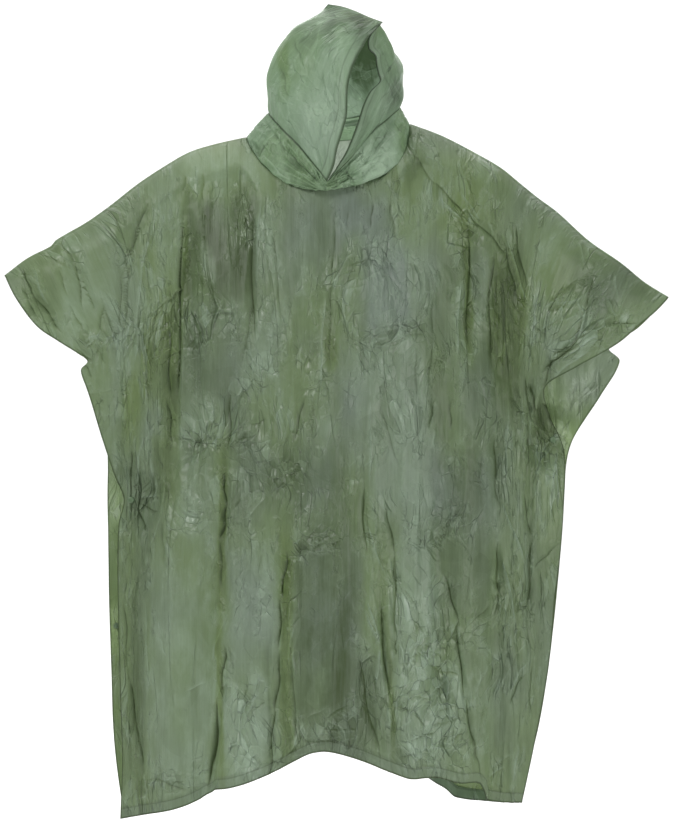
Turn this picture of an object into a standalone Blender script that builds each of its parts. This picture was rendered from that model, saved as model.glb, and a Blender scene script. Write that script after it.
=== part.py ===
# Rain poncho with a hood, as thin walls in the shape in which it is worn
# Metres, front towards -Y, +Z up, origin in the middle of the neck on the line of the shoulders
from bisect import bisect_right
from math import cos, exp, hypot, pi, radians, sin, sqrt

import bmesh
import bpy
from mathutils import Vector

for thing in list(bpy.data.objects):
    bpy.data.objects.remove(thing)

parts = bpy.data.collections.new("Rain poncho")
cutters = bpy.data.collections.new("Cutters")
bpy.context.scene.collection.children.link(parts)
bpy.context.scene.collection.children.link(cutters)

# Sizes
PANEL_WALL = 0.0015
HOOD_WALL = 0.0015
BAND_WALL = 0.0015
HEM_WALL = 0.0010
SEAM_GAP = 0.0003
HOOD_HEM_SHARE = 0.065
HOOD_SEAM_HALF = 0.00025
HOOD_LIFT = 0.0004
THROAT_SHIFT = Vector((0.0005, 0, 0.0018))
EDGE_FADE = 0.10
SOFT_EDGE = radians(40)

# Steps of the grids that the walls are made from
ARM_STEPS = 10
NECK_STEPS = 12

# Press studs, and the round flat spot that each one pulls into the film
STUD_RADIUS = 0.0060
STUD_POST = 0.0018
STUD_SEGMENTS = 16
CLOSED_STUD_DEPTH = 0.00345
LOW_STUD_DEPTH = 0.0095
FLAT_RADIUS = 0.024
FLAT_FADE = 0.040
SPOT_HALF_ACROSS = 0.0125
SPOT_HALF_DOWN = 0.0115
HOLE_DEPTH = 0.008
LEFT_STUD = (-0.3510, -0.6385)
RIGHT_STUD = (0.3860, -0.5330)
LOW_STUD = (-0.3780, -0.8594)

# Line of the shoulders and arms: x, z
SHOULDER_LINE = (
    (-0.571, -0.2490), (-0.531, -0.2190), (-0.490, -0.1930), (-0.427, -0.1557), (-0.385, -0.1260),
    (-0.340, -0.0906), (-0.298, -0.0623), (-0.249, -0.0340), (-0.203, -0.0195), (-0.1495, -0.0075),
    (0.1350, 0.0160), (0.189, -0.0042), (0.244, -0.0322), (0.293, -0.0605), (0.328, -0.0888),
    (0.359, -0.1138), (0.392, -0.1382), (0.446, -0.1872), (0.504, -0.2275), (0.545, -0.2610),
    (0.587, -0.2870),
)

# Neck: degrees round from the front over the left side, then x, y, z of the neckline of the body,
# then x, y, z of the seam where the hood starts
NECK = (
    (0, -0.0080, -0.1050, -0.1025, -0.0080, -0.1120, -0.0915),
    (22, -0.0450, -0.1010, -0.1035, -0.0300, -0.1030, -0.0620),
    (45, -0.0850, -0.0840, -0.0870, -0.0550, -0.0820, -0.0290),
    (68, -0.1230, -0.0480, -0.0520, -0.0920, -0.0450, 0.0120),
    (90, -0.1495, 0.0000, -0.0075, -0.1100, 0.0000, 0.0385),
    (112, -0.1330, 0.0400, 0.0010, -0.0990, 0.0350, 0.0450),
    (135, -0.0940, 0.0700, 0.0010, -0.0680, 0.0660, 0.0430),
    (158, -0.0480, 0.0870, -0.0010, -0.0350, 0.0830, 0.0380),
    (180, -0.0030, 0.0920, -0.0020, 0.0000, 0.0880, 0.0350),
    (202, 0.0430, 0.0880, 0.0010, 0.0370, 0.0840, 0.0400),
    (225, 0.0880, 0.0710, 0.0050, 0.0720, 0.0670, 0.0470),
    (248, 0.1190, 0.0400, 0.0120, 0.1030, 0.0360, 0.0510),
    (270, 0.1350, 0.0000, 0.0160, 0.1190, 0.0000, 0.0490),
    (292, 0.1270, -0.0360, -0.0340, 0.0990, -0.0460, 0.0260),
    (315, 0.0985, -0.0680, -0.0708, 0.0690, -0.0790, -0.0034),
    (338, 0.0520, -0.0940, -0.0920, 0.0320, -0.1030, -0.0500),
    (360, -0.0080, -0.1050, -0.1025, -0.0080, -0.1120, -0.0915),
)

# Side edges, from the tip of the sleeve down to the hem: x, z
FRONT_LEFT_EDGE = (
    (-0.571, -0.2490), (-0.550, -0.2870), (-0.512, -0.3360), (-0.476, -0.3610), (-0.440, -0.3835),
    (-0.428, -0.4050), (-0.427, -0.4320), (-0.418, -0.4640), (-0.398, -0.5335), (-0.378, -0.6000),
    (-0.364, -0.6385), (-0.373, -0.6820), (-0.374, -0.8130), (-0.370, -0.9880), (-0.367, -1.0920),
    (-0.370, -1.1950),
)
FRONT_RIGHT_EDGE = (
    (0.587, -0.2870), (0.562, -0.3113), (0.531, -0.3360), (0.504, -0.3600), (0.471, -0.3810),
    (0.422, -0.4080), (0.370, -0.4430), (0.380, -0.4900), (0.399, -0.5300), (0.407, -0.5600),
    (0.405, -0.6520), (0.398, -0.7430), (0.389, -0.8130), (0.382, -0.8970), (0.372, -0.9700),
    (0.353, -1.0680), (0.332, -1.1670),
)
BACK_LEFT_EDGE = (
    (-0.571, -0.2490), (-0.546, -0.2960), (-0.508, -0.3370), (-0.464, -0.3610), (-0.426, -0.3930),
    (-0.422, -0.4320), (-0.412, -0.4810), (-0.402, -0.5170), (-0.395, -0.5650), (-0.393, -0.6740),
    (-0.391, -0.8140), (-0.387, -0.9370), (-0.384, -1.0340), (-0.377, -1.1120), (-0.366, -1.1880),
)
BACK_RIGHT_EDGE = (
    (0.587, -0.2870), (0.540, -0.3360), (0.489, -0.3720), (0.508, -0.3950), (0.474, -0.4560),
    (0.444, -0.5000), (0.421, -0.5360), (0.412, -0.5700), (0.407, -0.6390),
    (0.3995, -0.7440), (0.384, -0.8985), (0.3665, -1.0160), (0.344, -1.1130), (0.328, -1.1710),
)

# Lower edges: x, z
FRONT_HEM = (
    (-0.370, -1.1950), (-0.316, -1.1795), (-0.254, -1.1600), (-0.210, -1.1390), (-0.170, -1.1255),
    (-0.118, -1.1200), (-0.087, -1.0850), (-0.046, -1.0610), (-0.003, -1.0530), (0.034, -1.0550),
    (0.075, -1.0860), (0.115, -1.1030), (0.177, -1.1090), (0.219, -1.1215), (0.272, -1.1450),
    (0.332, -1.1670),
)
BACK_HEM = (
    (-0.366, -1.1880), (-0.300, -1.1800), (-0.240, -1.1640), (-0.170, -1.1300), (-0.090, -1.1050),
    (0.000, -1.0950), (0.090, -1.1080), (0.160, -1.1380), (0.200, -1.1560), (0.220, -1.1700),
    (0.270, -1.1740), (0.328, -1.1710),
)

# Share of the way from left edge to right edge at which each column of the next two tables stands
ACROSS = (0.0, 0.08, 0.20, 0.30, 0.37, 0.43, 0.49, 0.55, 0.61, 0.70, 0.80, 0.92, 1.0)

# Share of the way down, then millimetres by which the front panel stands forward at each column
FRONT_DEPTH = (
    (0.000, 10, 30, 45, 52, 55, 92, 106, 92, 55, 52, 45, 30, 10),
    (0.050, 30, 44, 55, 62, 75, 100, 112, 100, 75, 62, 55, 44, 30),
    (0.120, 42, 52, 64, 80, 100, 120, 127, 120, 100, 80, 64, 52, 42),
    (0.220, 50, 56, 74, 102, 124, 138, 143, 138, 124, 102, 74, 54, 42),
    (0.330, 42, 52, 86, 122, 142, 152, 156, 152, 142, 122, 84, 44, 22),
    (0.445, 7, 42, 98, 134, 152, 162, 165, 162, 152, 134, 98, 44, 8),
    (0.600, 8, 46, 104, 140, 158, 168, 172, 168, 158, 140, 104, 46, 8),
    (0.800, 10, 50, 110, 146, 164, 175, 180, 175, 164, 146, 110, 50, 10),
    (1.000, 12, 54, 114, 150, 168, 182, 190, 182, 168, 150, 114, 54, 12),
)
BACK_DEPTH = (
    (0.000, 10, 30, 45, 52, 58, 84, 92, 84, 58, 52, 45, 30, 10),
    (0.050, 28, 44, 55, 64, 76, 94, 100, 94, 76, 64, 55, 44, 28),
    (0.120, 40, 52, 62, 80, 98, 112, 116, 112, 98, 80, 62, 52, 40),
    (0.220, 46, 54, 70, 98, 116, 126, 129, 126, 116, 98, 70, 54, 42),
    (0.330, 42, 50, 80, 110, 126, 134, 136, 134, 126, 110, 80, 46, 24),
    (0.445, 9, 40, 86, 116, 130, 138, 140, 138, 130, 116, 86, 40, 9),
    (0.600, 9, 44, 90, 120, 134, 142, 145, 142, 134, 120, 90, 44, 9),
    (0.800, 11, 46, 96, 128, 142, 150, 153, 150, 142, 128, 96, 46, 11),
    (1.000, 14, 50, 102, 136, 150, 158, 162, 158, 150, 136, 102, 50, 14),
)

# Radius over the shoulders and arms: share across, metres
RIDGE_RADIUS = (
    (0.0, 0.015), (0.08, 0.045), (0.20, 0.055), (0.37, 0.055), (0.49, 0.045), (0.61, 0.055),
    (0.80, 0.055), (0.92, 0.045), (1.0, 0.015),
)

# Largest folds: x and z of the upper end, x and z of the lower end, half width, height outwards
FRONT_FOLDS = (
    (-0.140, -0.620, -0.146, -1.300, 0.026, 0.016),
    (-0.098, -0.640, -0.100, -1.300, 0.020, -0.018),
    (-0.006, -0.100, -0.010, -0.330, 0.014, -0.007),
    (-0.165, -0.440, -0.160, -0.660, 0.018, -0.010),
    (-0.255, -0.100, -0.250, -0.360, 0.020, -0.009),
    (-0.215, -0.120, -0.200, -0.480, 0.028, 0.008),
    (-0.270, -0.640, -0.290, -1.300, 0.030, 0.011),
    (-0.215, -0.700, -0.225, -1.300, 0.022, -0.012),
    (0.085, -0.460, 0.075, -1.300, 0.022, -0.012),
    (0.125, -0.420, 0.125, -1.300, 0.026, 0.013),
    (0.190, -0.480, 0.175, -1.300, 0.022, -0.013),
    (0.240, -0.300, 0.235, -1.300, 0.024, 0.012),
    (0.285, -0.420, 0.275, -1.300, 0.020, -0.010),
    (0.130, -0.040, 0.235, -0.170, 0.016, -0.008),
    (0.235, -0.170, 0.280, -0.330, 0.018, -0.010),
    (0.262, -0.140, 0.312, -0.350, 0.016, 0.009),
    (-0.468, -0.190, -0.400, -0.350, 0.018, -0.007),
    (-0.515, -0.240, -0.440, -0.370, 0.014, 0.006),
    (0.470, -0.210, 0.390, -0.390, 0.018, -0.007),
    (0.400, -0.170, 0.350, -0.380, 0.020, 0.007),
)
BACK_FOLDS = (
    (-0.300, -0.300, -0.300, -1.300, 0.026, 0.010),
    (-0.235, -0.260, -0.245, -1.300, 0.022, -0.012),
    (-0.160, -0.320, -0.170, -1.300, 0.028, 0.013),
    (-0.085, -0.240, -0.095, -1.300, 0.022, -0.013),
    (-0.010, -0.360, -0.015, -1.300, 0.028, 0.012),
    (0.070, -0.300, 0.060, -1.300, 0.024, -0.012),
    (0.150, -0.260, 0.135, -1.300, 0.026, 0.012),
    (0.225, -0.300, 0.205, -1.300, 0.022, -0.012),
    (0.300, -0.340, 0.270, -1.300, 0.024, 0.010),
    (-0.440, -0.170, -0.380, -0.400, 0.020, -0.007),
    (0.440, -0.190, 0.370, -0.420, 0.020, -0.007),
)

# Hood: edges of the face opening from the throat up, and the seam from the nape over the crown: x, y, z
FACE_LEFT = (
    (-0.0080, -0.1120, -0.0915), (0.0038, -0.1180, -0.0640), (0.0090, -0.1200, -0.0385),
    (0.0190, -0.1200, -0.0060), (0.0259, -0.1200, 0.0210), (0.0276, -0.1200, 0.0670),
    (0.0345, -0.1150, 0.0985), (0.0447, -0.1100, 0.1230), (0.0551, -0.1000, 0.1430),
    (0.0672, -0.0900, 0.1635), (0.0880, -0.0700, 0.1870),
)
FACE_RIGHT = (
    (-0.0080, -0.1120, -0.0915), (0.0160, -0.1180, -0.0600), (0.0280, -0.1200, -0.0380),
    (0.0430, -0.1190, 0.0030), (0.0540, -0.1130, 0.0380), (0.0660, -0.1010, 0.0630),
    (0.0830, -0.0800, 0.0830), (0.1020, -0.0580, 0.0970), (0.1150, -0.0440, 0.1120),
    (0.1150, -0.0420, 0.1300), (0.1070, -0.0480, 0.1500), (0.0985, -0.0580, 0.1680),
    (0.0880, -0.0700, 0.1870),
)
NAPE_SEAM = (
    (0.0000, 0.0880, 0.0350), (-0.0150, 0.1020, 0.0720), (-0.0450, 0.1040, 0.1080),
    (-0.0640, 0.0900, 0.1480), (-0.0510, 0.0620, 0.1830), (-0.0290, 0.0330, 0.2080),
    (-0.0070, 0.0000, 0.2290),
)
CROWN_SEAM = (
    (0.0880, -0.0700, 0.1870), (0.0642, -0.0520, 0.1985), (0.0401, -0.0340, 0.2120),
    (0.0180, -0.0180, 0.2220), (-0.0070, 0.0000, 0.2290),
)
HOOD_LEFT_BULGE = (-0.034, -0.022, 0.004)
HOOD_RIGHT_BULGE = (0.026, 0.038, 0.004)
NECK_BULGE = 0.011

# Rows of the panels, as shares of the way down
PANEL_ROWS = (
    0.0, 0.004, 0.012, 0.024, 0.040, 0.060, 0.090, 0.13, 0.17, 0.215, 0.26, 0.31, 0.36, 0.41,
    0.45, 0.50, 0.55, 0.605, 0.66, 0.72, 0.78, 0.84, 0.90, 0.95, 0.9825, 1.0,
)
HOOD_ROWS = (0.0, 0.07, 0.15, 0.24, 0.34, 0.44, 0.54, 0.64, 0.73, 0.82, 0.91, 1.0)
NECK_ROWS = (0.0, 0.25, 0.5, 0.75, 1.0)


def smooth(places, values, at):
    """Value at a place, on a smooth curve through the values."""
    at = min(max(at, places[0]), places[-1])
    i = min(bisect_right(places, at) - 1, len(places) - 2)

    def slope(k):
        low = max(k - 1, 0)
        high = min(k + 1, len(places) - 1)
        return (values[high] - values[low]) / (places[high] - places[low])

    span = places[i + 1] - places[i]
    u = (at - places[i]) / span
    start = values[i] * (2 * u**3 - 3 * u**2 + 1) + slope(i) * span * (u**3 - 2 * u**2 + u)
    return start + values[i + 1] * (3 * u**2 - 2 * u**3) + slope(i + 1) * span * (u**3 - u**2)


def column(table, index):
    return [row[index] for row in table]


def step(value):
    """0 to 1 with soft ends."""
    value = min(max(value, 0.0), 1.0)
    return value * value * (3 - 2 * value)


def by_length(points):
    """Function of the share of a curve's length, through these points."""
    points = [Vector(point) for point in points]
    lengths = [0.0]
    for before, after in zip(points, points[1:]):
        lengths.append(lengths[-1] + (after - before).length)
    shares = [length / lengths[-1] for length in lengths]

    def point(share):
        return Vector([smooth(shares, column(points, axis), share) for axis in range(3)])

    return point


def flat(rows):
    return [(x, 0.0, z) for x, z in rows]


def neckline(degrees):
    turn = degrees % 360
    return Vector([smooth(column(NECK, 0), column(NECK, axis), turn) for axis in (1, 2, 3)])


def hood_seam(degrees):
    turn = degrees % 360
    return Vector([smooth(column(NECK, 0), column(NECK, axis), turn) for axis in (4, 5, 6)])


LEFT_TIP = SHOULDER_LINE[0][0]
RIGHT_TIP = SHOULDER_LINE[-1][0]
LEFT_NECK = (NECK[4][1] - LEFT_TIP) / (RIGHT_TIP - LEFT_TIP)
RIGHT_NECK = (NECK[12][1] - LEFT_TIP) / (RIGHT_TIP - LEFT_TIP)
LEFT_LINE = SHOULDER_LINE[:10]
RIGHT_LINE = SHOULDER_LINE[10:]


def top_line(side, s):
    """Upper edge of a panel: the line of the shoulders, and the neckline between its two ends."""
    if LEFT_NECK < s < RIGHT_NECK:
        share = (s - LEFT_NECK) / (RIGHT_NECK - LEFT_NECK)
        return neckline(90 - 180 * share if side == "front" else 90 + 180 * share)
    line = LEFT_LINE if s <= LEFT_NECK else RIGHT_LINE
    x = LEFT_TIP + (RIGHT_TIP - LEFT_TIP) * s
    return Vector((x, 0.0, smooth(column(line, 0), column(line, 1), x)))


def low_line(hem, s):
    x = hem[0][0] + (hem[-1][0] - hem[0][0]) * s
    return Vector((x, 0.0, smooth(column(hem, 0), column(hem, 1), x)))


EDGES = {
    "front": (by_length(flat(FRONT_LEFT_EDGE)), by_length(flat(FRONT_RIGHT_EDGE)), FRONT_HEM),
    "back": (by_length(flat(BACK_LEFT_EDGE)), by_length(flat(BACK_RIGHT_EDGE)), BACK_HEM),
}
DEPTHS = {"front": FRONT_DEPTH, "back": BACK_DEPTH}
FOLDS = {"front": FRONT_FOLDS, "back": BACK_FOLDS}
FACING = {"front": -1.0, "back": 1.0}

# Places where a press stud holds a panel flat: x, z, distance from the middle plane
CLOSED_SPOTS = [(*LEFT_STUD, CLOSED_STUD_DEPTH), (*RIGHT_STUD, CLOSED_STUD_DEPTH)]
FLAT_SPOTS = {"front": CLOSED_SPOTS, "back": CLOSED_SPOTS + [(*LOW_STUD, LOW_STUD_DEPTH)]}


def depth_of(side, s, t):
    table = DEPTHS[side]
    rows = [smooth(ACROSS, row[1:], s) for row in table]
    return smooth(column(table, 0), rows, t) / 1000


def fold_of(side, x, z):
    total = 0.0
    for top_x, top_z, low_x, low_z, width, height in FOLDS[side]:
        run_x = low_x - top_x
        run_z = low_z - top_z
        length = hypot(run_x, run_z)
        share = ((x - top_x) * run_x + (z - top_z) * run_z) / length**2
        aside = ((x - top_x) * run_z - (z - top_z) * run_x) / length
        ends = step((share + 0.10) / 0.35) * step((1.10 - share) / 0.35)
        total += height * exp(-((aside / width) ** 2)) * ends
    return total


def panel_point(side, s, t):
    """Point in the middle of the wall of the front or back panel."""
    left, right, hem = EDGES[side]
    top = top_line(side, s)
    low = low_line(hem, s)
    corners = (1 - t) * ((1 - s) * top_line(side, 0.0) + s * top_line(side, 1.0))
    corners += t * ((1 - s) * low_line(hem, 0.0) + s * low_line(hem, 1.0))
    place = (1 - s) * left(t) + s * right(t) + (1 - t) * top + t * low - corners
    down = hypot(place.x - top.x, place.z - top.z)
    radius = smooth(column(RIDGE_RADIUS, 0), column(RIDGE_RADIUS, 1), s)
    arch = sqrt(1 - (1 - min(down / radius, 1.0)) ** 2)
    edge = step(min(s, 1 - s) / EDGE_FADE)
    out = depth_of(side, s, t) + fold_of(side, place.x, place.z) * edge * arch
    for spot_x, spot_z, spot_out in FLAT_SPOTS[side]:
        away = hypot(place.x - spot_x, place.z - spot_z)
        out += (spot_out - out) * (1 - step((away - FLAT_RADIUS) / FLAT_FADE))
    place.y = abs(top.y) * (1 - arch) + out * arch
    place.y = FACING[side] * max(place.y, SEAM_GAP / 2)
    return place


def find(side, x, z):
    """Shares across and down at which a panel passes x, z in the front view, by Newton's method."""
    s = (x - FRONT_HEM[0][0]) / (FRONT_HEM[-1][0] - FRONT_HEM[0][0])
    t = z / FRONT_HEM[0][1]
    nudge = 0.002
    for _ in range(30):
        here = panel_point(side, s, t)
        by_s = panel_point(side, s + nudge, t) - here
        by_t = panel_point(side, s, t + nudge) - here
        scale = by_s.x * by_t.z - by_s.z * by_t.x
        off_x = x - here.x
        off_z = z - here.z
        s += nudge * (off_x * by_t.z - off_z * by_t.x) / scale
        t += nudge * (by_s.x * off_z - by_s.z * off_x) / scale
        s = min(max(s, nudge), 1 - nudge)
        t = min(max(t, nudge), 1 - nudge)
    return s, t


def stations(base, places, half):
    """Rows or columns with a pair added round each place, and those too near to it left out."""
    clear = 1.45 * half
    kept = [value for value in base if all(abs(value - place) > clear for place in places)]
    added = [place + way * half for place in places for way in (-1, 1)]
    kept += [value for value in added if 0.0 < value < 1.0]
    kept += [base[0], base[-1]]
    return sorted(set(kept))


def directions(grid, inward_sign, wrap=False):
    """Unit vectors through the wall at each point, averaged from the faces round it."""
    rows = len(grid)
    columns = len(grid[0])
    sums = [[Vector((0, 0, 0)) for _ in row] for row in grid]
    for i in range(rows - 1):
        for j in range(columns if wrap else columns - 1):
            k = (j + 1) % columns
            normal = (grid[i + 1][k] - grid[i][j]).cross(grid[i + 1][j] - grid[i][k])
            for a, b in ((i, j), (i, k), (i + 1, j), (i + 1, k)):
                sums[a][b] += normal
    return [[(inward_sign * vector).normalized() for vector in row] for row in sums]


def finish(name, colour, roughness):
    """Plain material of one colour."""
    material = bpy.data.materials.new(name)
    material.use_nodes = True
    shader = material.node_tree.nodes["Principled BSDF"]
    shader.inputs["Base Color"].default_value = (*colour, 1.0)
    shader.inputs["Roughness"].default_value = roughness
    return material


FILM = finish("green film", (0.17, 0.24, 0.15), 0.42)
BACK_FILM = finish("green film of the back", (0.20, 0.27, 0.14), 0.42)
HOOD_FILM = finish("light green film", (0.23, 0.31, 0.20), 0.40)
WELD = finish("welded film", (0.21, 0.28, 0.17), 0.36)
STUD_PLASTIC = finish("green stud plastic", (0.14, 0.20, 0.12), 0.30)


def place_part(name, shape, material, group=parts):
    """Object of this name from a bmesh, with its faces out and its round stretches shaded smooth."""
    bmesh.ops.recalc_face_normals(shape, faces=shape.faces)
    if shape.calc_volume(signed=True) < 0:
        bmesh.ops.reverse_faces(shape, faces=shape.faces)
    mesh = bpy.data.meshes.new(name)
    shape.to_mesh(mesh)
    shape.free()
    mesh.shade_smooth()
    mesh.set_sharp_from_angle(angle=SOFT_EDGE)
    mesh.materials.append(material)
    made = bpy.data.objects.new(name, mesh)
    group.objects.link(made)
    return made


def wall(name, grid, through, thickness, material, ring=False, shift=0.0):
    """Closed wall round a grid of points, moved inwards by shift."""
    rows = len(grid)
    columns = len(grid[0]) + (1 if ring else 0)
    shape = bmesh.new()
    bmesh.ops.create_grid(shape, x_segments=columns - 1, y_segments=rows - 1, size=1.0)
    inwards = shape.verts.layers.float_vector.new("inwards")
    shape.verts.ensure_lookup_table()
    for i in range(rows):
        for j in range(columns):
            vert = shape.verts[i * columns + j]
            way = through[i][j % len(grid[i])]
            vert.co = grid[i][j % len(grid[i])] + way * (shift - thickness / 2)
            vert[inwards] = way
    bmesh.ops.triangulate(shape, faces=shape.faces, quad_method="FIXED")
    if ring:
        bmesh.ops.remove_doubles(shape, verts=shape.verts, dist=0.00001)
    grown = bmesh.ops.extrude_face_region(shape, geom=shape.faces[:], use_keep_orig=True)
    for item in grown["geom"]:
        if isinstance(item, bmesh.types.BMVert):
            item.co += item[inwards] * thickness
    return place_part(name, shape, material)


def turned(name, profile, centre, tilt, material):
    """Solid of revolution from a profile of radius and height, which runs down its outer side."""
    mesh = bpy.data.meshes.new(name)
    edges = [(k, k + 1) for k in range(len(profile) - 1)]
    mesh.from_pydata([(radius, 0, height) for radius, height in profile], edges, [])
    mesh.materials.append(material)
    made = bpy.data.objects.new(name, mesh)
    made.location = centre
    made.rotation_euler = (tilt, 0, 0)
    screw = made.modifiers.new("Turn", "SCREW")
    screw.steps = STUD_SEGMENTS
    screw.render_steps = STUD_SEGMENTS
    screw.use_merge_vertices = True
    screw.merge_threshold = 0.0001
    parts.objects.link(made)
    return made


# Columns of the panels: over one arm, over the neck in the band's own steps, over the other arm
LEFT_COLUMNS = [LEFT_NECK * k / ARM_STEPS for k in range(ARM_STEPS)]
NECK_COLUMNS = [
    LEFT_NECK + (RIGHT_NECK - LEFT_NECK) * k / NECK_STEPS for k in range(NECK_STEPS + 1)
]
RIGHT_COLUMNS = [
    RIGHT_NECK + (1 - RIGHT_NECK) * k / ARM_STEPS for k in range(1, ARM_STEPS + 1)
]
BASE_COLUMNS = LEFT_COLUMNS + NECK_COLUMNS + RIGHT_COLUMNS


def panel_grid(side):
    spots = [find(side, x, z) for x, z, _ in FLAT_SPOTS[side]]
    across = stations(BASE_COLUMNS, [s for s, _ in spots], SPOT_HALF_ACROSS)
    down = stations(PANEL_ROWS, [t for _, t in spots], SPOT_HALF_DOWN)
    grid = [[panel_point(side, s, t) for s in across] for t in down]
    return grid, across


FRONT_GRID, FRONT_ACROSS = panel_grid("front")
BACK_GRID, BACK_ACROSS = panel_grid("back")
FRONT_WAYS = directions(FRONT_GRID, 1)
BACK_WAYS = directions(BACK_GRID, -1)

# Neck band: rows from the neckline up to the seam of the hood, columns round the neck
TURNS = [360 * k / (2 * NECK_STEPS) for k in range(2 * NECK_STEPS)]


def band_point(degrees, share):
    low = neckline(degrees)
    high = hood_seam(degrees)
    place = low.lerp(high, share)
    outward = Vector((low.x, low.y, 0.0)).normalized()
    swell = NECK_BULGE * sin(pi * share**0.6) * (0.15 + 0.85 * max(cos(radians(degrees)), 0.0))
    swell *= 1 + 0.25 * sin(radians(5 * degrees))
    return place + outward * swell


BAND_GRID = [[band_point(turn, share) for turn in TURNS] for share in NECK_ROWS]
BAND_WAYS = directions(BAND_GRID, 1, wrap=True)

# Hood halves: four edges each, and a swell in the middle


def hood_point(half, u, v):
    way = 1 if half == "left" else -1
    face = FACES[half]
    bottom = hood_seam(way * 180 * u)
    top = CROWN(u)
    corners = (1 - v) * ((1 - u) * hood_seam(0) + u * hood_seam(180))
    corners += v * ((1 - u) * CROWN(0.0) + u * CROWN(1.0))
    place = (1 - u) * face(v) + u * NAPE(v) + (1 - v) * bottom + v * top - corners
    swell = 16 * u * (1 - u) * v * (1 - v)
    return place + BULGES[half] * (swell**0.8)


FACES = {"left": by_length(FACE_LEFT), "right": by_length(FACE_RIGHT)}
NAPE = by_length(NAPE_SEAM)
CROWN = by_length(CROWN_SEAM)
BULGES = {"left": Vector(HOOD_LEFT_BULGE), "right": Vector(HOOD_RIGHT_BULGE)}
HOOD_ACROSS = sorted([k / NECK_STEPS for k in range(NECK_STEPS + 1)] + [HOOD_HEM_SHARE])
HOOD_LAST = len(HOOD_ACROSS) - 1


def hood_grid(half):
    return [[hood_point(half, u, v) for u in HOOD_ACROSS] for v in HOOD_ROWS]


LEFT_GRID = hood_grid("left")
RIGHT_GRID = hood_grid("right")
LEFT_WAYS = directions(LEFT_GRID, 1)
RIGHT_WAYS = directions(RIGHT_GRID, -1)


def along_seam(first, second, keep=None):
    """One direction for both walls of a seam, kept out of the direction in which they face each other."""
    shared = first + second
    if keep is not None:
        shared = shared - shared.dot(keep) * keep
    return shared.normalized()


# Both walls of each seam end on the same slant, so that an even gap is left between them
ACROSS_FOLD = Vector((0, 1, 0))
for grid, ways, across in ((FRONT_GRID, FRONT_WAYS, FRONT_ACROSS), (BACK_GRID, BACK_WAYS, BACK_ACROSS)):
    for j, s in enumerate(across):
        if s <= LEFT_NECK or s >= RIGHT_NECK:
            ways[0][j] = along_seam(ways[0][j], Vector((0, 0, -0.2)), ACROSS_FOLD)

FRONT_FIRST = FRONT_ACROSS.index(NECK_COLUMNS[0])
BACK_FIRST = BACK_ACROSS.index(NECK_COLUMNS[0])
quarter = NECK_STEPS // 2
for k in range(2 * NECK_STEPS):
    holders = []
    if k <= quarter or k >= 3 * quarter:
        j = FRONT_FIRST + quarter - (k if k <= quarter else k - 2 * NECK_STEPS)
        holders.append((FRONT_GRID, FRONT_WAYS, j))
    if quarter <= k <= 3 * quarter:
        holders.append((BACK_GRID, BACK_WAYS, BACK_FIRST + k - quarter))
    at_side = len(holders) == 2
    shared = BAND_WAYS[0][k].copy()
    for _, ways, j in holders:
        shared += ways[0][j] / len(holders)
    if at_side:
        shared.y = 0.0
    shared.normalize()
    BAND_WAYS[0][k] = shared
    away = (BAND_GRID[1][k] - BAND_GRID[0][k]).normalized()
    BAND_GRID[0][k] = BAND_GRID[0][k] + away * SEAM_GAP
    for grid, ways, j in holders:
        ways[0][j] = shared.copy()
        away = (grid[2][j] - grid[0][j]).normalized()
        if at_side:
            away.y = 0.0
        grid[0][j] = grid[0][j] + away * SEAM_GAP

for k in range(2 * NECK_STEPS):
    holders = []
    if k <= NECK_STEPS:
        holders.append((LEFT_GRID, LEFT_WAYS, k))
    if k >= NECK_STEPS or k == 0:
        holders.append((RIGHT_GRID, RIGHT_WAYS, (2 * NECK_STEPS - k) % (2 * NECK_STEPS)))
    # The hem of the hood has a column of its own, which the neck band doesn't have
    holders = [(grid, ways, j + 1 if j else 0) for grid, ways, j in holders]
    shared = BAND_WAYS[-1][k].copy()
    for _, ways, j in holders:
        shared += ways[0][j] / len(holders)
    shared.normalize()
    BAND_WAYS[-1][k] = shared
    away = (BAND_GRID[-2][k] - BAND_GRID[-1][k]).normalized()
    BAND_GRID[-1][k] = BAND_GRID[-1][k] + away * HOOD_LIFT
    for grid, ways, j in holders:
        ways[0][j] = shared.copy()
        away = (grid[1][j] - grid[0][j]).normalized()
        grid[0][j] = grid[0][j] + away * HOOD_LIFT
HEM_PLACE = HOOD_HEM_SHARE * NECK_STEPS
for grid, ways in ((LEFT_GRID, LEFT_WAYS), (RIGHT_GRID, RIGHT_WAYS)):
    grid[0][1] = grid[0][0].lerp(grid[0][2], HEM_PLACE)
    ways[0][1] = ways[0][0].lerp(ways[0][2], HEM_PLACE)


def part_halves(places):
    """Gap between the two halves of the hood, at each row, column and the next point inwards."""
    for i, j, towards in places:
        left = LEFT_GRID[i][j]
        right = RIGHT_GRID[i][j]
        inner_left = LEFT_GRID[towards[0]][towards[1]]
        inner_right = RIGHT_GRID[towards[0]][towards[1]]
        apart = (inner_right - inner_left).normalized()
        shared = along_seam(LEFT_WAYS[i][j], RIGHT_WAYS[i][j], apart)
        LEFT_GRID[i][j] = left - apart * HOOD_SEAM_HALF
        RIGHT_GRID[i][j] = right + apart * HOOD_SEAM_HALF
        LEFT_WAYS[i][j] = shared
        RIGHT_WAYS[i][j] = shared.copy()


LAST_ROW = len(HOOD_ROWS) - 1
part_halves([(i, HOOD_LAST, (i, HOOD_LAST - 1)) for i in range(LAST_ROW)])
part_halves([(LAST_ROW, j, (LAST_ROW - 1, j)) for j in range(HOOD_LAST + 1)])
for grid, side in ((LEFT_GRID, -1), (RIGHT_GRID, 1)):
    grid[0][0] = grid[0][0] + Vector((side * THROAT_SHIFT.x, THROAT_SHIFT.y, THROAT_SHIFT.z))
    grid[0][1] = grid[0][0].lerp(grid[0][2], HEM_PLACE)

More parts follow.
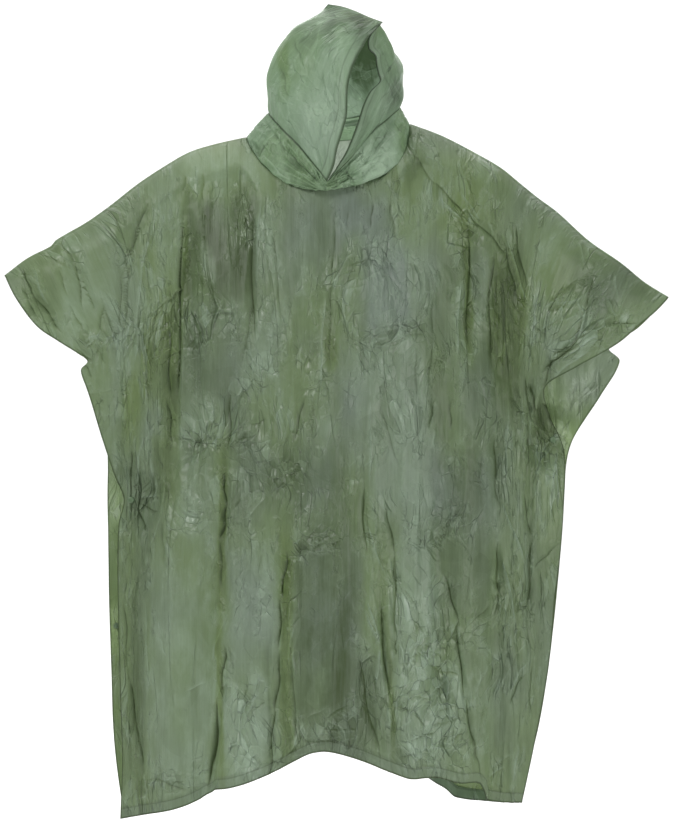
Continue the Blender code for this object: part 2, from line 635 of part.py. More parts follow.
# Walls
front_panel = wall("front_panel", FRONT_GRID, FRONT_WAYS, PANEL_WALL, FILM)
back_panel = wall("back_panel", BACK_GRID, BACK_WAYS, PANEL_WALL, BACK_FILM)
wall("neck_band", BAND_GRID, BAND_WAYS, BAND_WALL, HOOD_FILM, ring=True)
wall("hood_left", LEFT_GRID, LEFT_WAYS, HOOD_WALL, HOOD_FILM)
wall("hood_right", RIGHT_GRID, RIGHT_WAYS, HOOD_WALL, HOOD_FILM)

# Welded hems: the last strip of each panel, moved inwards by a wall and a gap
INSIDE = PANEL_WALL / 2 + SEAM_GAP + HEM_WALL / 2
wall("front_hem", FRONT_GRID[-2:], FRONT_WAYS[-2:], HEM_WALL, WELD, shift=INSIDE)
wall("back_hem", BACK_GRID[-2:], BACK_WAYS[-2:], HEM_WALL, WELD, shift=INSIDE)

# Hem along the face opening, inside the hood
for name, grid, ways in (
    ("hood_hem_left", LEFT_GRID, LEFT_WAYS),
    ("hood_hem_right", RIGHT_GRID, RIGHT_WAYS),
):
    strip = [row[:2] for row in grid[1:-1]]
    strip_ways = [row[:2] for row in ways[1:-1]]
    wall(name, strip, strip_ways, HEM_WALL, WELD, shift=INSIDE)

# Tape welded inside the neck seam, round the back
TAPE = slice(NECK_STEPS // 2 + 1, 3 * NECK_STEPS // 2)
tape = [row[TAPE] for row in BAND_GRID[2:4]]
tape_ways = [row[TAPE] for row in BAND_WAYS[2:4]]
wall("neck_tape", tape, tape_ways, HEM_WALL, WELD, shift=INSIDE)

# Press studs: each half is one body that passes through a hole in its panel
HALF_WALL = PANEL_WALL / 2 + SEAM_GAP
CAP = (
    (0, 0.0028), (0.0035, 0.0026), (0.0055, 0.0019), (STUD_RADIUS, HALF_WALL), (STUD_POST, HALF_WALL),
    (STUD_POST, -HALF_WALL), (0.0046, -HALF_WALL),
)
SOCKET = CAP + ((0.0046, -0.0036), (0.0022, -0.0036), (0.0022, -0.0019), (0, -0.0019))
KNOB = CAP + ((0.0046, -0.0030), (0.0018, -0.0030), (0.0015, -0.0046), (0, -0.0046))


def fit_stud(name, side, panel, place, depth, profile):
    """Half of a press stud at x, z on a panel, and the hole that its post passes through."""
    centre = (place[0], FACING[side] * depth, place[1])
    tilt = -FACING[side] * pi / 2
    turned(name, profile, centre, tilt, STUD_PLASTIC)
    shape = bmesh.new()
    bmesh.ops.create_cone(
        shape, cap_ends=True, segments=STUD_SEGMENTS, radius1=STUD_POST + SEAM_GAP,
        radius2=STUD_POST + SEAM_GAP, depth=HOLE_DEPTH,
    )
    cutter = place_part(name + "_hole", shape, STUD_PLASTIC, cutters)
    cutter.location = centre
    cutter.rotation_euler = (tilt, 0, 0)
    cutter.hide_render = True
    cutter.display_type = "WIRE"
    cut = panel.modifiers.new(name + "_hole", "BOOLEAN")
    cut.operation = "DIFFERENCE"
    cut.solver = "EXACT"
    cut.object = cutter


fit_stud("stud_front_left", "front", front_panel, LEFT_STUD, CLOSED_STUD_DEPTH, SOCKET)
fit_stud("stud_back_left", "back", back_panel, LEFT_STUD, CLOSED_STUD_DEPTH, KNOB)
fit_stud("stud_front_right", "front", front_panel, RIGHT_STUD, CLOSED_STUD_DEPTH, SOCKET)
fit_stud("stud_back_right", "back", back_panel, RIGHT_STUD, CLOSED_STUD_DEPTH, KNOB)
fit_stud("stud_back_low", "back", back_panel, LOW_STUD, LOW_STUD_DEPTH, KNOB)
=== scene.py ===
import random
from functools import partial
from math import hypot, pi, radians

import bmesh
import bpy
import numpy as np
from mathutils import Matrix, Vector, noise


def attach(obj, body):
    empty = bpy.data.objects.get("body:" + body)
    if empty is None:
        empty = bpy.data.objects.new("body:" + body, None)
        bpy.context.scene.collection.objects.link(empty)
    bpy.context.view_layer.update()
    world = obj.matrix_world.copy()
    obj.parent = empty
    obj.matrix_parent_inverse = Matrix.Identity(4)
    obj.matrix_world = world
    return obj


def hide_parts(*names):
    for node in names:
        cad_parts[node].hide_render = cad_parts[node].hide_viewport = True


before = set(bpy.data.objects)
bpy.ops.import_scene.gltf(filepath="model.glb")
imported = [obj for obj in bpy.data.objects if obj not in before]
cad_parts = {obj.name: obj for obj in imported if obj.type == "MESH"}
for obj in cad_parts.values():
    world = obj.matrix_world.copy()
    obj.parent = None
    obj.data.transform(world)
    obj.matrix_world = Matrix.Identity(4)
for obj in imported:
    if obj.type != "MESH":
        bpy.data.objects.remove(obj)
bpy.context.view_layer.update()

SEED = 7
rng = random.Random(SEED)

# Sizes of the pieces
SEAM_GAP = 0.0003
HEM_INSIDE = 0.0012
HEM_WIDTH = 0.0175
STRIP_WALL = 0.0004
EDGE_FADE = 0.10
CREST_REACH = 0.008
# Width of the painted highlight or painted shade line on a crest and of the painted light and shade beside it
CREST_WIDTH = 0.0015
FLANK_WIDTH = 0.0024
# Share of a crease's size in its table that is built, and heights at which a ridge counts in full in the
# painted light on crests and painted shade in troughs
CREASE_SHARE = 0.85
PANEL_RELIEF = 0.008
HOOD_RELIEF = 0.005
HOOD_HEM_SHARE = 0.065
NECK_BULGE = 0.011
CLOSED_STUD_DEPTH = 0.00345
LOW_STUD_DEPTH = 0.0095
FLAT_RADIUS = 0.024
FLAT_FADE = 0.040
LEFT_STUD = (-0.3510, -0.6385)
RIGHT_STUD = (0.3860, -0.5330)
LOW_STUD = (-0.3780, -0.8594)
MERGED = 0.00001

# Flat cut: one body film folded at the shoulders, in two halves, the neck band and two hood halves
BAND_CUT = (0.80, 0.085)
HOOD_CUT = (0.28, 0.30)

# Steps of the grids
PANEL_COLUMNS = 298
PANEL_ROWS = 300
CLOSE_ROWS = 14
HEM_ROWS = 6
BAND_COLUMNS = 480
BAND_ROWS = 64
HOOD_COLUMNS = 220
HOOD_ROWS = 220
HOOD_HEM_COLUMNS = 10
HOOD_HEM_SHORT = 4


def metres(count, rows):
    """Rows with this many of their first numbers turned from millimetres to metres."""
    return tuple(tuple(value / 1000 for value in row[:count]) + row[count:] for row in rows)


# Line of the shoulders and arms, from the left tip to the neck and from the neck to the right tip: x, z
LEFT_SHOULDER = (
    (-0.571, -0.249), (-0.531, -0.219), (-0.488, -0.1965), (-0.482, -0.188), (-0.427, -0.1557),
    (-0.385, -0.126), (-0.34, -0.0906), (-0.298, -0.0623), (-0.249, -0.034), (-0.203, -0.0195),
    (-0.1495, -0.0075),
)
RIGHT_SHOULDER = (
    (0.135, 0.016), (0.189, -0.0042), (0.244, -0.0322), (0.293, -0.0605), (0.328, -0.0888),
    (0.359, -0.1138), (0.392, -0.1382), (0.446, -0.1872), (0.504, -0.2275), (0.545, -0.261),
    (0.587, -0.287),
)

# Neck: degrees round from the front over the left side, x, y, z of the neckline, x, y, z of the hood seam
NECK = (
    (0, -0.008, -0.105, -0.1025, -0.008, -0.112, -0.0915),
    (22, -0.045, -0.101, -0.1035, -0.03, -0.103, -0.062),
    (45, -0.085, -0.084, -0.087, -0.055, -0.082, -0.029),
    (68, -0.123, -0.048, -0.052, -0.092, -0.045, 0.012), (90, -0.1495, 0, -0.0075, -0.11, 0, 0.0385),
    (112, -0.133, 0.04, 0.001, -0.099, 0.035, 0.045), (135, -0.094, 0.07, 0.001, -0.068, 0.066, 0.043),
    (158, -0.048, 0.087, -0.001, -0.035, 0.083, 0.038), (180, -0.003, 0.092, -0.002, 0, 0.088, 0.035),
    (202, 0.043, 0.088, 0.001, 0.037, 0.084, 0.04), (225, 0.088, 0.071, 0.005, 0.072, 0.067, 0.047),
    (248, 0.119, 0.04, 0.012, 0.103, 0.036, 0.051), (270, 0.135, 0, 0.016, 0.119, 0, 0.049),
    (292, 0.127, -0.036, -0.034, 0.099, -0.046, 0.026),
    (315, 0.0985, -0.068, -0.0708, 0.069, -0.079, -0.0034),
    (338, 0.052, -0.094, -0.092, 0.032, -0.103, -0.05),
    (360, -0.008, -0.105, -0.1025, -0.008, -0.112, -0.0915),
)

# Side edges, from the tip of the sleeve down to the hem: x, z
FRONT_LEFT_EDGE = (
    (-0.571, -0.249), (-0.55, -0.287), (-0.512, -0.336), (-0.476, -0.361), (-0.44, -0.3835),
    (-0.423, -0.397), (-0.434, -0.411), (-0.432, -0.424), (-0.426, -0.44), (-0.418, -0.464),
    (-0.398, -0.5335), (-0.378, -0.6), (-0.364, -0.6385), (-0.373, -0.682), (-0.374, -0.813),
    (-0.37, -0.988), (-0.367, -1.092), (-0.37, -1.195),
)
FRONT_RIGHT_EDGE = (
    (0.587, -0.287), (0.562, -0.3113), (0.531, -0.336), (0.504, -0.36), (0.471, -0.381),
    (0.422, -0.408), (0.37, -0.443), (0.38, -0.49), (0.399, -0.53), (0.407, -0.56), (0.405, -0.652),
    (0.398, -0.743), (0.389, -0.813), (0.382, -0.897), (0.372, -0.97), (0.353, -1.068), (0.332, -1.167),
)
BACK_LEFT_EDGE = (
    (-0.571, -0.249), (-0.546, -0.296), (-0.508, -0.337), (-0.464, -0.361), (-0.426, -0.393),
    (-0.422, -0.432), (-0.412, -0.481), (-0.402, -0.517), (-0.395, -0.565), (-0.393, -0.674),
    (-0.391, -0.814), (-0.387, -0.937), (-0.384, -1.034), (-0.377, -1.112), (-0.366, -1.188),
)
BACK_RIGHT_EDGE = (
    (0.587, -0.287), (0.54, -0.336), (0.489, -0.372), (0.508, -0.395), (0.474, -0.456), (0.444, -0.5),
    (0.421, -0.536), (0.412, -0.57), (0.407, -0.639), (0.3995, -0.744), (0.384, -0.8985),
    (0.3665, -1.016), (0.344, -1.113), (0.328, -1.171),
)

# Lower edges: x, z
FRONT_HEM = (
    (-0.37, -1.195), (-0.316, -1.1795), (-0.254, -1.16), (-0.212, -1.139), (-0.198, -1.127),
    (-0.15, -1.122), (-0.116, -1.119), (-0.109, -1.104), (-0.104, -1.091), (-0.093, -1.087),
    (-0.046, -1.061), (-0.003, -1.053), (0.034, -1.055), (0.075, -1.086), (0.115, -1.103),
    (0.177, -1.109), (0.219, -1.12), (0.25, -1.1225), (0.26, -1.136), (0.267, -1.155), (0.332, -1.167),
)
BACK_HEM = (
    (-0.366, -1.188), (-0.3, -1.18), (-0.24, -1.164), (-0.17, -1.13), (-0.09, -1.105), (0, -1.095),
    (0.09, -1.108), (0.16, -1.138), (0.2, -1.156), (0.22, -1.17), (0.27, -1.174), (0.328, -1.171),
)

# Share of the way from left edge to right edge of each column of the next two tables
ACROSS = (0.0, 0.08, 0.20, 0.30, 0.37, 0.43, 0.49, 0.55, 0.61, 0.70, 0.80, 0.92, 1.0)

# Share of the way down, then millimetres by which a panel stands out at each column
FRONT_DEPTH = (
    (0.000, 10, 30, 45, 52, 55, 92, 106, 92, 55, 52, 45, 30, 10),
    (0.050, 30, 44, 55, 62, 75, 100, 112, 100, 75, 62, 55, 44, 30),
    (0.120, 42, 52, 64, 80, 100, 120, 127, 120, 100, 80, 64, 52, 42),
    (0.220, 50, 56, 74, 102, 124, 138, 143, 138, 124, 102, 74, 54, 42),
    (0.330, 42, 52, 86, 122, 142, 152, 156, 152, 142, 122, 84, 44, 22),
    (0.445, 7, 42, 98, 134, 152, 162, 165, 162, 152, 134, 98, 44, 8),
    (0.600, 8, 46, 104, 140, 158, 168, 172, 168, 158, 140, 104, 46, 8),
    (0.800, 10, 50, 110, 146, 164, 175, 180, 175, 164, 146, 110, 50, 10),
    (1.000, 12, 54, 114, 150, 168, 182, 190, 182, 168, 150, 114, 54, 12),
)
BACK_DEPTH = (
    (0.000, 10, 30, 45, 52, 58, 84, 92, 84, 58, 52, 45, 30, 10),
    (0.050, 28, 44, 55, 64, 76, 94, 100, 94, 76, 64, 55, 44, 28),
    (0.120, 40, 52, 62, 80, 98, 112, 116, 112, 98, 80, 62, 52, 40),
    (0.220, 46, 54, 70, 98, 116, 126, 129, 126, 116, 98, 70, 54, 42),
    (0.330, 42, 50, 80, 110, 126, 134, 136, 134, 126, 110, 80, 46, 24),
    (0.445, 9, 40, 86, 116, 130, 138, 140, 138, 130, 116, 86, 40, 9),
    (0.600, 9, 44, 90, 120, 134, 142, 145, 142, 134, 120, 90, 44, 9),
    (0.800, 11, 46, 96, 128, 142, 150, 153, 150, 142, 128, 96, 46, 11),
    (1.000, 14, 50, 102, 136, 150, 158, 162, 158, 150, 136, 102, 50, 14),
)

# Radius over the shoulders and arms: share across, metres
RIDGE_RADIUS = (
    (0, 0.015), (0.08, 0.045), (0.2, 0.055), (0.37, 0.055), (0.49, 0.045), (0.61, 0.055), (0.8, 0.055),
    (0.92, 0.045), (1, 0.015),
)

# In the tables inside metres(), all lengths are written in millimetres
# Largest folds: x and z of the upper end, x and z of the lower end, half width, height outwards
FRONT_FOLDS = metres(6, (
    (-140, -620, -146, -1300, 26, 16), (-98, -640, -100, -1300, 20, -18), (-6, -100, -10, -330, 14, -7),
    (-165, -440, -160, -660, 18, -10), (-255, -100, -250, -360, 20, -9),
    (-215, -120, -200, -480, 28, 8), (-270, -640, -290, -1300, 30, 11),
    (-215, -700, -225, -1300, 22, -12), (85, -460, 75, -1300, 22, -12), (125, -420, 125, -1300, 26, 13),
    (190, -480, 175, -1300, 22, -13), (240, -300, 235, -1300, 24, 12), (285, -420, 275, -1300, 20, -10),
    (130, -40, 235, -170, 16, -8), (235, -170, 280, -330, 18, -10), (262, -140, 312, -350, 16, 9),
    (-468, -190, -400, -350, 18, -7), (-515, -240, -440, -370, 14, 6), (470, -210, 390, -390, 18, -7),
    (400, -170, 350, -380, 20, 7),
))
BACK_FOLDS = metres(6, (
    (-300, -300, -300, -1300, 26, 10), (-235, -260, -245, -1300, 22, -12),
    (-160, -320, -170, -1300, 28, 13), (-85, -240, -95, -1300, 22, -13),
    (-10, -360, -15, -1300, 28, 12), (70, -300, 60, -1300, 24, -12), (150, -260, 135, -1300, 26, 12),
    (225, -300, 205, -1300, 22, -12), (300, -340, 270, -1300, 24, 10), (-440, -170, -380, -400, 20, -7),
    (440, -190, 370, -420, 20, -7),
))

# Hood: edges of the face opening from the throat up, and the seam from the nape over the crown: x, y, z
FACE_LEFT = (
    (-0.008, -0.112, -0.0915), (0.0038, -0.118, -0.064), (0.009, -0.12, -0.0385),
    (0.019, -0.12, -0.006), (0.0259, -0.12, 0.021), (0.0276, -0.12, 0.067), (0.0345, -0.115, 0.0985),
    (0.0447, -0.11, 0.123), (0.0551, -0.1, 0.143), (0.0672, -0.09, 0.1635), (0.088, -0.07, 0.187),
)
FACE_RIGHT = (
    (-0.008, -0.112, -0.0915), (0.016, -0.118, -0.06), (0.028, -0.12, -0.038), (0.043, -0.119, 0.003),
    (0.054, -0.113, 0.038), (0.066, -0.101, 0.063), (0.083, -0.08, 0.083), (0.102, -0.058, 0.097),
    (0.115, -0.044, 0.112), (0.115, -0.042, 0.13), (0.107, -0.048, 0.15), (0.0985, -0.058, 0.168),
    (0.088, -0.07, 0.187),
)
# The same edge with its upper part turned inwards, as it is seen
FACE_TURNED = FACE_RIGHT[:7] + (
    (0.0805, -0.076, 0.098), (0.0775, -0.072, 0.1135), (0.0755, -0.072, 0.128), (0.064, -0.082, 0.14),
    (0.066, -0.08, 0.16), (0.088, -0.07, 0.187),
)
NAPE_SEAM = (
    (0, 0.088, 0.035), (-0.015, 0.102, 0.072), (-0.045, 0.104, 0.108), (-0.064, 0.09, 0.148),
    (-0.051, 0.062, 0.183), (-0.029, 0.033, 0.208), (-0.007, 0, 0.229),
)
CROWN_SEAM = (
    (0.088, -0.07, 0.187), (0.0642, -0.052, 0.1985), (0.0401, -0.034, 0.212), (0.018, -0.018, 0.222),
    (-0.007, 0, 0.229),
)
HOOD_BULGE = {"left": (-0.034, -0.022, 0.004), "right": (0.026, 0.038, 0.004)}
# Further push to the right: share up the half, half width as a share, metres
HOOD_PUSH = {
    "left": ((0.54, 0.16, 0.014),),
    "right": ((0.42, 0.17, 0.024), (0.78, 0.13, -0.011)),
}

# Creases of the front: x and z of both ends, half width in mm, height outwards in mm, bend in mm
FRONT_CREASES = metres(4, (
    (-318, -123, -349, -225, 6, -4, 4), (-251, -76, -256, -105, 4, -2.5, 0),
    (-221, -71, -223, -121, 5, -3, 0), (-121, -119, -128, -278, 7, 4, 0), (7, -124, -1, -270, 5, -5, 0),
    (72, -124, 66, -171, 4, -4, 0), (101, -123, 110, -191, 7, -3.5, 0), (130, -21, 178, -92, 5, -4, 0),
    (178, -88, 235, -149, 6, -5, -2), (223, -103, 260, -160, 4, 3, 0),
    (-545, -261, -503, -333, 5, -4, 0), (-540, -235, -519, -282, 6, -5, 0),
    (-519, -279, -468, -347, 7, -6, 0), (-519, -230, -491, -305, 8, 4, 0),
    (-475, -186, -445, -226, 6, -5, 0), (-473, -235, -459, -282, 4, -3, 0),
    (-454, -300, -430, -342, 4, -4, 0), (-445, -223, -430, -307, 6, -5, 0),
    (-445, -373, -414, -397, 4, -5, 0), (-435, -251, -409, -310, 4, -4, 0),
    (-409, -363, -392, -401, 4, -3, 0), (-394, -300, -403, -347, 4, -3.5, 0),
    (-394, -302, -371, -358, 4, -3, 0), (-364, -249, -366, -348, 6, -4, 0),
    (-349, -218, -357, -343, 5, -3.5, 0), (-344, -322, -364, -382, 5, 4, 0),
    (-328, -154, -364, -252, 6, -4, 0), (-328, -330, -340, -397, 5, 3, 0),
    (-326, -198, -338, -362, 5, 3, 0), (-308, -158, -335, -291, 5, 3.5, 2),
    (-281, -262, -265, -361, 5, -3, 0), (-279, -336, -281, -462, 8, -5, 2),
    (-258, -139, -265, -464, 6, -7, 0), (-138, -364, -128, -446, 5, 3.5, 0),
    (-135, -133, -130, -365, 6, -5, 3), (-133, -292, -149, -392, 5, -4, 0),
    (-98, -182, -86, -324, 4, -3, 0), (-11, -284, -20, -463, 7, 4, 0), (-1, -267, -3, -400, 5, -4.5, 0),
    (28, -142, 26, -171, 3, -2, 0), (172, -298, 173, -363, 4, -3, 0), (173, -359, 167, -434, 4, -3, 0),
    (223, -247, 213, -403, 6, 4, 0), (237, -143, 302, -210, 6, -4.5, 0),
    (239, -164, 232, -384, 8, -7, -4), (279, -213, 277, -403, 9, -6, 5),
    (288, -207, 299, -370, 3, -2.5, 2), (293, -245, 306, -428, 4, -4, 0),
    (302, -207, 324, -292, 6, -4, 0), (304, -185, 340, -304, 5, 5.5, 0),
    (316, -158, 338, -275, 9, -5, 0), (411, -300, 381, -310, 3, -3, 0),
    (426, -185, 437, -230, 4, 3, -3), (438, -321, 426, -342, 5, -4, 0),
    (438, -347, 363, -417, 5, -7, -3), (454, -247, 438, -321, 5, -4, 0),
    (463, -329, 430, -350, 5, -5, 0), (478, -289, 491, -317, 5, 4, 0), (491, -247, 496, -289, 5, 3, 0),
    (-430, -396, -414, -425, 4, -5, 0), (-348, -550, -351, -634, 5, -5, 0),
    (-328, -533, -342, -623, 6, 4.5, 0), (-285, -464, -277, -541, 9, -5, 0),
    (-185, -588, -180, -646, 7, -6, 0), (-173, -456, -174, -549, 6, -5, 0),
    (-168, -590, -178, -724, 4, 4, 0), (-47, -464, -64, -534, 5, -5, 0),
    (-30, -464, -32, -529, 4, -3, 0), (55, -610, 60, -723, 6, -5, 2), (66, -464, 65, -610, 6, 4, 0),
    (83, -473, 114, -576, 4, -3, 0), (144, -385, 144, -464, 4, -3, 0), (177, -464, 167, -512, 5, -5, 0),
    (177, -512, 173, -549, 4, 3, 0), (203, -464, 204, -515, 5, -4, 0), (284, -529, 288, -647, 8, -6, 2),
    (304, -464, 299, -612, 6, 4, 0), (324, -438, 331, -499, 4, -3, 0), (329, -543, 340, -559, 3, -3, 0),
    (334, -424, 351, -507, 4, -5, 0), (345, -435, 358, -485, 6, -6, 0),
    (367, -469, 402, -528, 8, -8, 0), (391, -565, 396, -650, 4, 5, 0),
    (-362, -811, -357, -944, 8, -4, 0), (-324, -809, -317, -981, 8, 3, -4),
    (-295, -669, -315, -721, 4, 3.5, 0), (-295, -873, -285, -905, 4, 3, 0),
    (-293, -674, -288, -747, 4, -3, 0), (-190, -702, -187, -787, 6, -4, 0),
    (-188, -857, -202, -908, 5, 3, 0), (-180, -643, -190, -702, 8, -6, 0),
    (-154, -631, -174, -660, 3, -2.5, 0), (-113, -630, -144, -666, 3, 2.5, 0),
    (-86, -797, -89, -887, 8, -6.5, 0), (-74, -723, -86, -801, 7, -6, 0),
    (-70, -855, -59, -1051, 5, -4, 0), (-69, -775, -74, -870, 4, 4, 0), (-64, -846, -74, -911, 4, 4, 0),
    (-52, -829, -74, -853, 3, -2.5, 0), (56, -660, 93, -765, 4, 4, 2), (56, -819, 76, -870, 4, 5, 0),
    (60, -802, 83, -880, 4, 5, 0), (83, -802, 100, -971, 6, -6, 3), (93, -645, 109, -723, 6, -5, 0),
    (109, -723, 109, -870, 7, -6, 0), (109, -870, 109, -896, 6, -5, 0),
    (110, -770, 143, -810, 3, -2.5, 0), (138, -837, 163, -861, 3, -2.5, 0),
    (139, -842, 158, -856, 3, -3, 0), (163, -714, 184, -739, 4, -3, 0),
    (192, -763, 218, -850, 6, -6, 0), (213, -844, 229, -975, 6, -6, 2),
    (284, -712, 288, -805, 6, -5, 0), (288, -632, 334, -748, 4, 4.5, -2),
    (290, -726, 318, -856, 4, 4.5, -2), (334, -628, 349, -702, 5, -5, 0),
    (349, -702, 345, -833, 6, -6, 0), (391, -719, 351, -759, 4, -4, 0),
    (-357, -940, -326, -1113, 8, -5, 0), (-324, -1107, -315, -1160, 4, 4, 0),
    (-310, -1115, -247, -1132, 4, -4, 0), (-214, -946, -249, -963, 3, 2, 0),
    (-190, -971, -207, -1128, 7, -9, 2), (-180, -882, -187, -974, 6, -7, 0),
    (-123, -959, -144, -1000, 5, 4, 0), (-108, -969, -144, -1000, 3, -3, 0),
    (-98, -985, -106, -1099, 10, -8, 0), (-86, -887, -96, -992, 9, -6, 0),
    (-50, -1025, -64, -1066, 4, -4, 0), (-47, -1008, -70, -1061, 6, 4, 0),
    (-3, -978, -42, -998, 3, 2, 0), (46, -900, 83, -1074, 12, -5, 0), (83, -877, 75, -947, 4, 5, 0),
    (105, -983, 139, -989, 4, -4, 0), (114, -911, 144, -906, 3, -3, 0),
    (129, -1041, 179, -1028, 5, -5, 0), (138, -965, 179, -975, 3, -3, 0),
    (139, -989, 158, -1018, 4, -4, 0), (143, -886, 184, -928, 4, -4, 0),
    (144, -1062, 194, -1054, 3, -3, 0), (184, -926, 223, -932, 4, -4, 0),
    (194, -1054, 227, -1026, 3, -3, 0), (229, -972, 253, -1092, 6, -6, 0),
    (248, -1061, 258, -1120, 5, -5, 0), (269, -919, 242, -967, 4, 3, 0),
    (299, -1099, 258, -1122, 4, 4, 0), (307, -895, 283, -916, 4, 3, 0),
    (313, -1076, 274, -1102, 4, 3, 0), (325, -935, 309, -965, 5, 5, 0),
    (325, -1061, 313, -1124, 6, 4, 0), (334, -941, 309, -991, 6, -6, 0),
    (351, -923, 349, -1009, 5, -4, 4), (-315, -603, -340, -632, 4, -4, 0),
    (-298, -632, -338, -637, 4, 4, 2), (-338, -642, -301, -658, 4, -4, 2),
    (-341, -648, -322, -689, 4, -5, 0), (-334, -585, -345, -625, 4, -5, 0),
    (343, -499, 388, -526, 4, 4, 2), (387, -535, 340, -544, 4, -4, 0), (388, -544, 354, -585, 4, 4, 2),
    (395, -551, 383, -620, 4, 5, 0), (374, -473, 390, -519, 5, -5, 0), (534, -330, 471, -333, 4, -4, 0),
    (471, -333, 417, -363, 5, -6, 0), (417, -363, 381, -391, 5, -6, 0),
    (381, -391, 367, -440, 6, -7, -3), (466, -351, 396, -398, 6, 6, 3), (449, -377, 382, -429, 5, 5, 3),
))

# Creases of the back, in the same columns
BACK_CREASES = metres(4, (
    (-330, -160, -350, -420, 6, -5, 3), (-285, -120, -300, -380, 7, 4, 0),
    (-240, -70, -262, -300, 5, -5, -3), (-198, -90, -205, -360, 8, 4, 2),
    (-150, -60, -160, -290, 5, -4, 0), (-108, -80, -128, -400, 6, 4, 0),
    (-60, -50, -66, -260, 5, -4, 2), (-18, -60, -22, -340, 6, 4, 0), (36, -40, 32, -230, 5, -4, 0),
    (82, -60, 98, -380, 6, 4, -2), (136, -40, 158, -280, 5, -5, 0), (190, -70, 205, -360, 7, 4, 3),
    (246, -90, 270, -310, 5, -5, 0), (300, -140, 318, -400, 6, 4, 0), (350, -190, 352, -440, 6, -5, 0),
    (-520, -240, -450, -350, 6, -5, 0), (-470, -200, -410, -340, 6, 4, 0),
    (-420, -170, -385, -330, 5, -4, 2), (540, -280, 480, -360, 6, -5, 0),
    (490, -240, 440, -390, 7, 4, 0), (430, -200, 405, -380, 5, -4, -2),
    (-372, -470, -340, -640, 6, -5, 0), (-320, -430, -325, -700, 7, 5, 2),
    (-268, -420, -262, -640, 5, -5, 0), (-215, -470, -222, -760, 6, 4, 0),
    (-120, -440, -114, -700, 6, -5, -3), (-48, -400, -52, -560, 5, 4, 0),
    (30, -420, 22, -680, 6, -5, 0), (112, -440, 106, -620, 5, 4, 2), (182, -420, 176, -700, 6, -5, 0),
    (262, -450, 250, -720, 7, 5, -3), (352, -500, 320, -680, 6, -5, 0),
    (-352, -720, -344, -960, 7, -5, 0), (-276, -760, -282, -1020, 6, 5, 0),
    (-200, -820, -208, -1100, 7, -6, 3), (-130, -760, -140, -1040, 6, 5, 0),
    (-52, -800, -46, -1080, 7, -5, 0), (24, -740, 30, -960, 5, 4, 0), (98, -780, 92, -1080, 7, -6, -3),
    (178, -760, 168, -1000, 6, 5, 0), (240, -800, 222, -1100, 7, -5, 2),
    (318, -740, 302, -1020, 6, 4, 0), (-180, -330, -90, -372, 5, 4, 3), (60, -470, 160, -430, 5, 4, -3),
    (-300, -560, -210, -602, 5, -4, 3), (-80, -640, 10, -606, 5, 4, 2),
    (140, -720, 230, -690, 5, -4, 0), (-240, -900, -160, -930, 5, 4, 0),
    (60, -930, 140, -900, 5, -4, 3), (-330, -1060, -250, -1100, 5, 4, 0),
    (190, -1060, 270, -1100, 5, -4, 0),
))

# Overlapping folds of the front: x and z of both ends, width of the slope in mm, height in mm
# The drop is on the viewer's left where the height is above 0
FRONT_PLEATS = metres(4, (
    (-179, -881, -209, -1135, 26, 9), (-98, -786, -106, -1110, 18, -8), (209, -803, 255, -1135, 26, -8),
    (66, -735, 104, -1105, 20, 6), (-253, -145, -262, -464, 16, -6), (242, -185, 229, -414, 14, 5),
))
BACK_PLEATS = metres(4, (
    (-230, -700, -250, -1170, 24, 7), (140, -620, 160, -1140, 22, -7), (20, -120, 30, -480, 16, 5),
))

# Bands of fine crumples: x and z of both ends, half height of the band, number of creases
FRONT_CRUMPLES = metres(5, (
    (-252, -349, -178, -303, 20, 15), (-170, -541, -92, -499, 20, 14), (-70, -729, 8, -686, 18, 14),
    (62, -366, 155, -342, 18, 14), (164, -704, 240, -665, 18, 13), (-248, -385, -220, -345, 12, 6),
    (-180, -480, -150, -440, 18, 7), (-95, -610, -60, -570, 20, 7), (-240, -560, -190, -470, 16, 8),
    (120, -900, 215, -860, 30, 12), (110, -1020, 220, -960, 34, 16), (120, -1075, 230, -1055, 18, 8),
    (-90, -1040, 60, -1000, 30, 14), (270, -960, 340, -870, 30, 8), (240, -850, 340, -790, 24, 10),
    (330, -560, 390, -500, 26, 12), (-360, -660, -300, -610, 16, 7), (-350, -1150, -260, -1110, 18, 6),
    (350, -330, 480, -280, 34, 12), (400, -380, 500, -330, 14, 9), (-330, -380, -260, -300, 30, 10),
    (-420, -380, -360, -330, 20, 8), (0, -260, 90, -220, 30, 8), (170, -95, 262, -188, 12, 8),
    (-155, -110, -145, -200, 14, 8),
))
BACK_CRUMPLES = metres(5, (
    (-240, -360, -150, -300, 22, 15), (40, -430, 150, -380, 22, 15), (-160, -600, -60, -560, 22, 14),
    (120, -640, 220, -600, 20, 13), (-300, -760, -200, -700, 22, 13), (0, -820, 110, -780, 26, 14),
    (-180, -980, -60, -930, 30, 15), (160, -1000, 280, -930, 30, 15),
    (-330, -1110, -230, -1060, 24, 10), (60, -1070, 160, -1040, 20, 9), (340, -560, 390, -500, 24, 10),
    (-370, -660, -310, -610, 18, 8), (-420, -370, -330, -300, 30, 10), (340, -340, 440, -280, 30, 10),
    (-60, -180, 60, -130, 30, 10),
))

